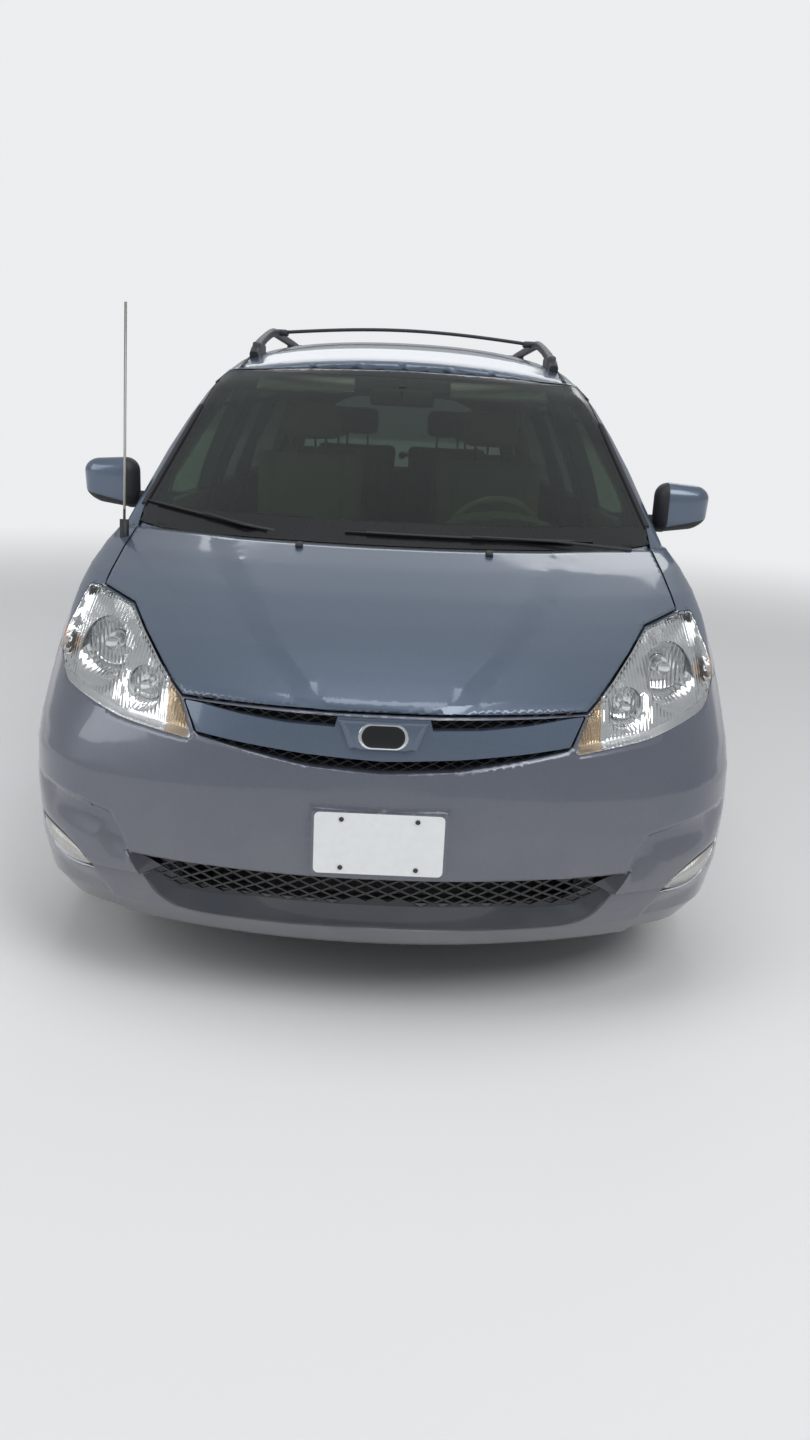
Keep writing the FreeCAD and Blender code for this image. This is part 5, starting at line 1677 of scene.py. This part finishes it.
@dataclass
class TailLamps:
    """Red tail lamps with a clear band, rear reflectors and the high stop lamp."""

    band: tuple[float, float] = (0.985, 1.055)

    def build(self) -> None:
        """Make lamps and reflectors."""
        shape = cad_copy("tail_lamps")
        low, high = self.band
        cut_faces(shape, [(Vector((0, 0, high)), Vector((0, 0, 1))),
                          (Vector((0, 0, low)), Vector((0, 0, -1)))], 1, inside=True)
        finish_piece(shape, "tail_lenses", [Finishes.RED_LENS, Finishes.FOG], "body",
                     ("tail_lamps",), 35.0)
        path = spaced(Skin("rear_bumper").back, (0.60, 0.46), (0.76, 0.46), 6)
        finish_piece(both_sides(strip(path, (0.020, 0.005, 0.004, 2))), "rear_reflectors",
                     Finishes.RED_LENS)
        path = spaced(Skin("tailgate", "tailgate_glass").back, (-0.16, 1.600), (0.16, 1.600), 8)
        finish_piece(strip(path, (0.013, 0.008, 0.005, 2)), "high_stop_lamp",
                     Finishes.RED_LENS, "tailgate")
        LOG.info("tail lamps")


@dataclass
class GateTrim:
    """The tailgate's grip bar, rear wiper, latch handle and glass border."""

    def build(self) -> None:
        """Make what the tailgate carries."""
        gate = Skin("tailgate", "tailgate_glass").back
        for name, finish, half, z, steps, outline in (
                ("gate_bar", Finishes.PAINT, 0.33, 0.985, 16, (0.022, 0.011, 0.008, 3)),
                ("gate_grip", Finishes.BLACK, 0.10, 0.948, 6, (0.012, 0.004, 0.003, 2))):
            finish_piece(strip(spaced(gate, (-half, z), (half, z), steps), outline), name,
                         finish, "tailgate")
        path = spaced(gate, (0.02, 1.205), (0.32, 1.195), 8)
        parts = [strip(path, (0.005, 0.011, 0.002, 1), lift=0.012),
                 strip(path[:5], (0.009, 0.006, 0.003, 2), [1.5, 1.3, 1.1, 1.0, 0.8], 0.026),
                 turned([(0.0, 0.038), (0.016, 0.036), (0.021, 0.028), (0.023, 0.0),
                         (0.0, 0.0)], stand(*gate(0.0, 1.203)), 24)]
        finish_piece(joined(*parts), "rear_wiper", Finishes.BLACK, "tailgate")
        LOG.info("tailgate trim")


@dataclass
class SideTrim:
    """The fuel door's seam and the lower door mouldings."""

    door: tuple[float, float] = (1.72, 0.905)
    reach: float = 0.075
    moulding_z: float = 0.560
    seam: tuple[float, ...] = (0.0016, 0.0012, 0.0005, 1)
    moulding: tuple[float, ...] = (0.026, 0.008, 0.006, 3)
    squareness: float = 0.35

    def build(self) -> None:
        """Make the side details."""
        skin = Skin("quarter_panels", "side_frames")
        y, z = self.door
        ring = []
        for k in range(33):
            angle = math.tau * k / 32
            ring.append(skin.side(1, y + self.reach * self.squared(math.cos(angle)),
                                  z + self.reach * self.squared(math.sin(angle))))
        finish_piece(strip(ring, self.seam, lift=-0.0004), "fuel_door_seam",
                     Finishes.BLACK)
        for side in Side:
            name = side.name.lower()
            for node, body, first, last in (
                    ("front_door_" + name, "door_" + name, -1.03, -0.10),
                    ("sliding_doors", "body", 0.02, 0.95)):
                path = spaced(partial(Skin(node).side, side.value), (first, self.moulding_z),
                              (last, self.moulding_z), 14)
                shape = strip(path, self.moulding, [0.5] + [1.0] * 13 + [0.5])
                finish_piece(shape, "moulding_%s_%s" % (node, name), Finishes.PAINT, body)
        LOG.info("side trim")

    def squared(self, value: float) -> float:
        """A cosine pushed out towards a square with round corners."""
        return math.copysign(abs(value) ** self.squareness, value)


@dataclass
class Brakes:
    """A disc behind the spokes of each front wheel."""

    radius: float = 0.150
    inner_radius: float = 0.072
    half_depth: float = 0.006
    inner_x: float = 0.765

    def build(self) -> None:
        """Make the discs."""
        near, far, deep = self.inner_radius, self.radius, self.half_depth
        for side in Side:
            name = side.name.lower()
            disc = turned([(near, deep), (0.092, deep), (far, deep), (far, -deep),
                           (near, -deep), (near, deep)],
                          hub_frame(side.value, self.inner_x, FRONT_AXLE_Y), 64)
            finish_piece(disc, "brake_disc_" + name, Finishes.STEEL, "wheel_front_" + name)
            LOG.info("brake %s", name)


@dataclass
class Pad:
    """One padded form of a seat: its side outline, width, and sewn lines."""

    outline: Corners
    half: float
    edge: float
    seams: tuple[float, ...] = ()
    facing: Place3 = (0.0, 0.0, 1.0)
    cross: tuple[Place3, ...] = ()
    voxel: float = 0.009
    pressure: float = 4.0
    cap: float = 0.012
    frames: int = 20
    seam: tuple[float, float] = (0.010, 0.010)
    cross_depth: float = 0.009
    bolster: tuple[float, float] = (0.06, 0.35)

    def blank(self) -> Shape:
        """The pad before it is filled: its outline pushed across, with round edges."""
        shape = bmesh.new()
        cap = shape.faces.new([shape.verts.new((-self.half, y, z)) for y, z in self.outline])
        grown = bmesh.ops.extrude_face_region(shape, geom=[cap])
        bmesh.ops.translate(shape, vec=(2 * self.half, 0, 0),
                            verts=picked(grown, bmesh.types.BMVert))
        bmesh.ops.recalc_face_normals(shape, faces=shape.faces)
        bmesh.ops.bevel(shape, geom=shape.edges[:], offset=self.edge, segments=3, profile=0.5,
                        affect="EDGES", material=-1)
        return shape

    def filled(self) -> bpy.types.Mesh:
        """Remesh the blank, blow it up with the cloth solver and sew its seams.

        Returns:
            The pad's mesh.
        """
        mesh = bpy.data.meshes.new("pad")
        shape = self.blank()
        shape.to_mesh(mesh)
        shape.free()
        obj = bpy.data.objects.new("pad", mesh)
        bpy.context.collection.objects.link(obj)
        remesh = obj.modifiers.new("remesh", "REMESH")
        remesh.mode = "VOXEL"
        remesh.voxel_size = self.voxel
        obj.data = self.evaluated(obj)
        obj.modifiers.clear()
        rest = [vert.co.copy() for vert in obj.data.vertices]
        cloth = obj.modifiers.new("cloth", "CLOTH")
        cloth.settings.use_pressure = True
        cloth.settings.uniform_pressure_force = self.pressure
        cloth.settings.effector_weights.gravity = 0.0
        for frame in range(1, self.frames + 1):
            bpy.context.scene.frame_set(frame)
        moved = self.evaluated(obj)
        bpy.context.scene.frame_set(1)
        obj.modifiers.clear()
        obj.data = moved
        for vert, start in zip(moved.vertices, rest):
            way = vert.co - start
            if way.length > self.cap:
                vert.co = start + way * (self.cap / way.length)
        done = obj.data
        self.sew(done)
        bpy.data.objects.remove(obj)
        return done

    def evaluated(self, obj: bpy.types.Object) -> bpy.types.Mesh:
        """A mesh of the object with its modifiers applied."""
        graph = bpy.context.evaluated_depsgraph_get()
        return bpy.data.meshes.new_from_object(obj.evaluated_get(graph))

    def sew(self, mesh: bpy.types.Mesh) -> None:
        """Press the sewn lines into the side that faces the sitter."""
        facing = Vector(self.facing)
        depth, width = self.seam
        reach, raise_by = self.bolster
        shape = bmesh.new()
        shape.from_mesh(mesh)
        shape.normal_update()
        for vert in shape.verts:
            turn = vert.normal.dot(facing)
            dip = sum(depth * math.exp(-((abs(vert.co.x) - x) / width) ** 2)
                      for x in self.seams) * max(turn, 0.0)
            for y, z, spread in self.cross:
                away = math.hypot(vert.co.y - y, vert.co.z - z)
                dip += self.cross_depth * math.exp(-(away / spread) ** 2) * max(turn, 0.0)
            beyond = max(abs(vert.co.x) - (self.seams[0] if self.seams else 1.0), 0.0)
            vert.co += facing * max(turn, 0.0) * min(beyond, reach) * raise_by
            vert.co -= vert.normal * dip
        bmesh.ops.smooth_vert(shape, verts=shape.verts, factor=0.3, use_axis_x=True,
                              use_axis_y=True, use_axis_z=True)
        shape.to_mesh(mesh)
        shape.free()


@dataclass
class Seats:
    """Three rows of two padded seats on dark bases."""

    rows: tuple[tuple[str, float, float], ...] = (
        ("front_seats", -0.130, 0.390), ("middle_seats", 0.790, 0.390),
        ("rear_seats", 1.640, 0.268))
    top: float = 0.330
    cushion: Pad = field(default_factory=lambda: Pad(
        ((-0.520, -0.125), (-0.008, -0.125), (-0.008, -0.018), (-0.520, -0.008)), 0.250, 0.034,
        (0.155,), (0.0, -0.1, 0.995), ((-0.30, 0.0, 0.016),)))
    back: Pad = field(default_factory=lambda: Pad(
        ((-0.074, -0.020), (0.048, -0.040), (0.176, 0.592), (0.080, 0.606)), 0.238, 0.036,
        (0.150,), (0.0, -0.976, 0.216), ((-0.03, 0.20, 0.016),)))
    head: Pad = field(default_factory=lambda: Pad(
        ((0.104, 0.655), (0.184, 0.650), (0.206, 0.795), (0.132, 0.800)), 0.120, 0.028))

    def build(self) -> None:
        """Fill each pad once and set copies of it in every row."""
        pads = [pad.filled() for pad in (self.cushion, self.back, self.head)]
        for node, back_y, x in self.rows:
            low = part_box(node)[0][2]
            shape, frames = bmesh.new(), []
            for sign in (1, -1):
                place = shifted((sign * x, back_y, low + self.top))
                for mesh in pads:
                    before = len(shape.verts)
                    shape.from_mesh(mesh)
                    shape.verts.ensure_lookup_table()
                    bmesh.ops.transform(shape, matrix=place, verts=shape.verts[before:])
                frames.append(self.base(place))
            pad = finish_piece(shape, node + "_pads", Finishes.CLOTH, "body", (node,), 60.0)
            finish_piece(joined(*frames), node + "_bases", Finishes.TRIM)
            LOG.info("seats %s", node)

    def base(self, place: Matrix) -> Shape:
        """The dark frame below a cushion and the posts of its head restraint."""
        parts = [block((0.36, 0.42, 0.190), place @ shifted((0, -0.25, -0.233)), 0.02)]
        for x in (-0.06, 0.06):
            parts.append(turned([(0.0, 0.0), (0.006, 0.0), (0.006, 0.11), (0.0, 0.11)],
                                place @ shifted((x, 0.138, 0.575)), 12))
        for x in (-0.16, 0.16):
            parts.append(block((0.04, 0.40, 0.024), place @ shifted((x, -0.25, -0.316)), 0.006))
        return joined(*parts)


@dataclass
class Cabin:
    """What shows through the screen: binnacle, slots, vents, inner mirror and visors."""

    vents_x: tuple[float, ...] = (-0.66, -0.13, 0.13, 0.66)
    vents_z: float = 0.985
    panel_z: float = 0.860
    knobs_x: tuple[float, ...] = (-0.07, 0.0, 0.07)
    header_z: float = 1.560
    visors_x: tuple[float, ...] = (-0.36, 0.36)
    visor_tilt: float = 22.0
    mirror_tilt: float = -12.0
    hub: Place3 = (0.380, -0.662, 1.015)
    column_tilt: float = 27.0
    binnacle: tuple[Place3, float, float] = ((0.38, -0.945, 1.070), 0.20, 0.062)

    def build(self) -> None:
        """Make the cabin's details."""
        dash = Skin("dashboard")
        centre, wide, tall = self.binnacle
        turns = [math.pi * k / SWEEP_STEPS for k in range(SWEEP_STEPS + 1)]
        rays = [Vector((math.cos(turn), 0, math.sin(turn))) for turn in turns]
        arch = [(Vector(centre) + Matrix.Diagonal((wide, 1, tall)) @ ray, ray) for ray in rays]
        finish_piece(strip(arch, (0.085, 0.008, 0.006, 2)), "binnacle", Finishes.DASH_TOP)
        slots = []
        for first, last in ((-0.62, -0.10), (0.10, 0.62)):
            slots.append(strip(spaced(dash.top, (first, -1.430), (last, -1.430), 8),
                               (0.020, 0.002, 0.001, 1)))
        slots.append(strip(spaced(dash.top, (-0.74, -1.300), (0.74, -1.300), 20),
                           (0.004, 0.0015, 0.001, 1)))
        finish_piece(joined(*slots), "defroster_slots", Finishes.TRIM)
        self.vents(dash)
        self.mirror_and_visors()
        self.wheel_cover()
        LOG.info("cabin")

    def vents(self, dash: Skin) -> None:
        """Four air vents, the middle screen and the knobs on the dashboard's rear face."""
        frames, darks = [], []
        forwards = Vector((0, -1, 0))
        for x in self.vents_x:
            place = stand(*dash.hit(Vector((x, 0.5, self.vents_z)), forwards))
            frames.append(block((0.130, 0.070, 0.014), place, 0.005))
            for k in range(4):
                darks.append(block((0.112, 0.007, 0.005), place @ shifted(
                    (0, -0.021 + 0.014 * k, 0.008)), 0.0012, 1))
        place = stand(*dash.hit(Vector((0, 0.5, self.panel_z)), forwards))
        darks.append(block((0.19, 0.11, 0.012), place, 0.004))
        for x in self.knobs_x:
            darks.append(turned([(0.0, 0.026), (0.014, 0.025), (0.017, 0.020), (0.019, 0.0),
                                 (0.0, 0.0)], place @ shifted((x, -0.085, 0)), 20))
        finish_piece(joined(*frames), "vent_frames", Finishes.DASH_TOP)
        finish_piece(joined(*darks), "vent_slats", Finishes.TRIM)

    def mirror_and_visors(self) -> None:
        """The inner mirror on its stalk and the two folded sun visors."""
        screen = Skin("windshield")
        point, normal = screen.front(0.0, self.header_z)
        centre = point + Vector((0, 0.085, -0.035))
        tilt = shifted(centre) @ Matrix.Rotation(math.radians(self.mirror_tilt), 4, "X")
        stalk = [(point + Vector((0, 0.010, 0)), normal),
                 (point + Vector((0, 0.035, -0.002)), normal),
                 (centre + Vector((0, -0.014, 0)), normal)]
        shapes = [block((0.235, 0.028, 0.062), tilt, 0.013, 3),
                  strip(stalk, (0.009, 0.009, 0.006, 2), [1.5, 0.8, 0.8])]
        finish_piece(joined(*shapes), "inner_mirror", Finishes.TRIM)
        visors = []
        for x in self.visors_x:
            point, _ = screen.front(x, self.header_z)
            place = shifted(point + Vector((0, 0.14, 0.005))) @ Matrix.Rotation(
                math.radians(self.visor_tilt), 4, "X")
            visors.append(block((0.36, 0.150, 0.016), place, 0.007, 3))
        finish_piece(joined(*visors), "sun_visors", Finishes.LINING)

    def wheel_cover(self) -> None:
        """The padded hub of the steering wheel with a row of switches."""
        tilt = Matrix.Rotation(math.radians(self.column_tilt) - math.pi / 2, 4, "X")
        place = shifted(self.hub) @ tilt
        hub = turned([(0.0, 0.030), (0.040, 0.028), (0.066, 0.018), (0.074, 0.004),
                      (0.070, -0.020), (0.0, -0.020)], place @ Matrix.Diagonal((1.15, 0.9, 1, 1)))
        finish_piece(hub, "steering_hub", Finishes.DASH, "steering_wheel")


@dataclass
class Studio:
    """Pale floor, soft lamps and the camera at the photograph's place."""

    eye: Place3 = (0.021, -4.919, 1.469)
    yaw: float = -0.64
    pitch: float = 15.7
    roll: float = 2.75
    focal_px: float = 1085.2
    photo_height: float = 1440.0
    film: float = 36.0
    sky: tuple[float, ...] = (0.93, 0.96, 1.0, 1.0)
    sky_strength: float = 0.42
    floor_size: float = 60.0
    floor_grey: float = 0.80
    white: tuple[float, float, float, float] = (0.84, 0.85, 0.86, 1.0)
    lamps: tuple[tuple[str, Place3, Place3, float, float, float], ...] = (
        ("key", (3.5, -6.0, 6.5), (0, -1.2, 0.8), 4.0, 4.0, 230.0),
        ("fill", (-5.5, -4.0, 4.0), (0, -0.8, 0.8), 4.0, 4.0, 110.0),
        ("top", (0.0, -2.3, 7.0), (0, -2.3, 0), 4.0, 4.0, 110.0),
        ("back", (0.8, 8.5, 6.85), (0, -0.9, 1.2), 9.0, 2.7, 125.0))

    def floor(self) -> None:
        """A large pale floor that keeps the object's shadow."""
        shape = bmesh.new()
        bmesh.ops.create_grid(shape, x_segments=1, y_segments=1, size=self.floor_size)
        mesh = bpy.data.meshes.new("floor")
        shape.to_mesh(mesh)
        shape.free()
        obj = bpy.data.objects.new("floor", mesh)
        bpy.context.collection.objects.link(obj)
        bench = MaterialBench("floor")
        far = bench.effect(Effect.FAR)
        bench.blend(far, grey(self.floor_grey), grey(0.0))
        bench.blend(far, grey(0.0), self.white, "Emission Color")
        bench.plain(Roughness=0.9, Emission_Strength=1.0, Specular_IOR_Level=0.0)
        mesh.materials.append(bench.material)

    def world(self) -> None:
        """Even light from all round, seen as white behind the object."""
        world = bpy.data.worlds.new("studio")
        world.use_nodes = True
        tree = world.node_tree
        back = tree.nodes["Background"]
        back.inputs["Color"].default_value = self.sky
        back.inputs["Strength"].default_value = self.sky_strength
        white = tree.nodes.new("ShaderNodeBackground")
        white.inputs["Color"].default_value = self.white
        path = tree.nodes.new("ShaderNodeLightPath")
        mix = tree.nodes.new("ShaderNodeMixShader")
        tree.links.new(path.outputs["Is Camera Ray"], mix.inputs["Fac"])
        tree.links.new(back.outputs["Background"], mix.inputs[1])
        tree.links.new(white.outputs["Background"], mix.inputs[2])
        tree.links.new(mix.outputs["Shader"], tree.nodes["World Output"].inputs["Surface"])
        bpy.context.scene.world = world

    def lamp(self, name: str, place: Place3, aim: Place3, wide: float, tall: float,
             power: float) -> None:
        """A soft lamp.

        Args:
            name: The lamp's name.
            place: Where it stands.
            aim: The point that it faces.
            wide: Its width in metres.
            tall: Its height in metres.
            power: Its power in watts.
        """
        light = bpy.data.lights.new(name, "AREA")
        light.shape = "RECTANGLE"
        light.size = wide
        light.size_y = tall
        light.energy = power
        obj = bpy.data.objects.new(name, light)
        bpy.context.collection.objects.link(obj)
        obj.location = place
        way = Vector(aim) - Vector(place)
        obj.rotation_euler = way.to_track_quat("-Z", "Y").to_euler()
        obj.visible_camera = False

    def camera(self) -> None:
        """The camera, with the photograph's turn, tilt, roll and focal length."""
        data = bpy.data.cameras.new("camera")
        data.sensor_fit = "VERTICAL"
        data.sensor_width = data.sensor_height = self.film
        data.lens = self.film * self.focal_px / self.photo_height
        data.clip_end = 200.0
        obj = bpy.data.objects.new("camera", data)
        bpy.context.collection.objects.link(obj)
        turn = Matrix.Rotation(math.radians(self.yaw), 4, "Z")
        tilt = Matrix.Rotation(math.radians(90 - self.pitch), 4, "X")
        roll = Matrix.Rotation(math.radians(self.roll), 4, "Z")
        obj.matrix_world = shifted(self.eye) @ turn @ tilt @ roll
        bpy.context.scene.camera = obj

    def build(self) -> None:
        """Set the whole stage."""
        self.floor()
        self.world()
        for row in self.lamps:
            self.lamp(*row)
        self.camera()
        bpy.context.scene.view_settings.view_transform = "Standard"


FRAME: dict = {}


def main() -> None:
    """Load the frame, build every sub-assembly in order and set the stage."""
    logging.basicConfig(level=logging.INFO, format="%(message)s")
    FRAME.update(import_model())
    sections = (BodyPanels(), Glazing(), Carried(), RoofRails(), Wheels(), Headlamps(),
                FogLamps(), GrillePad(), GrilleNet(), IntakeBand(),
                Plate("front_plate", (0, -2.556, 0.499), "body", -1),
                Plate("rear_plate", (0, 2.523, 0.838), "tailgate", 1), Wipers(), Mouldings(),
                DoorHandles(), Mirrors(), TailLamps(), GateTrim(), SideTrim(), Brakes(), Seats(),
                Cabin(), Studio())
    for part in sections:
        part.build()
        LOG.info("built %s", type(part).__name__)


if __name__ == "__main__":
    main()
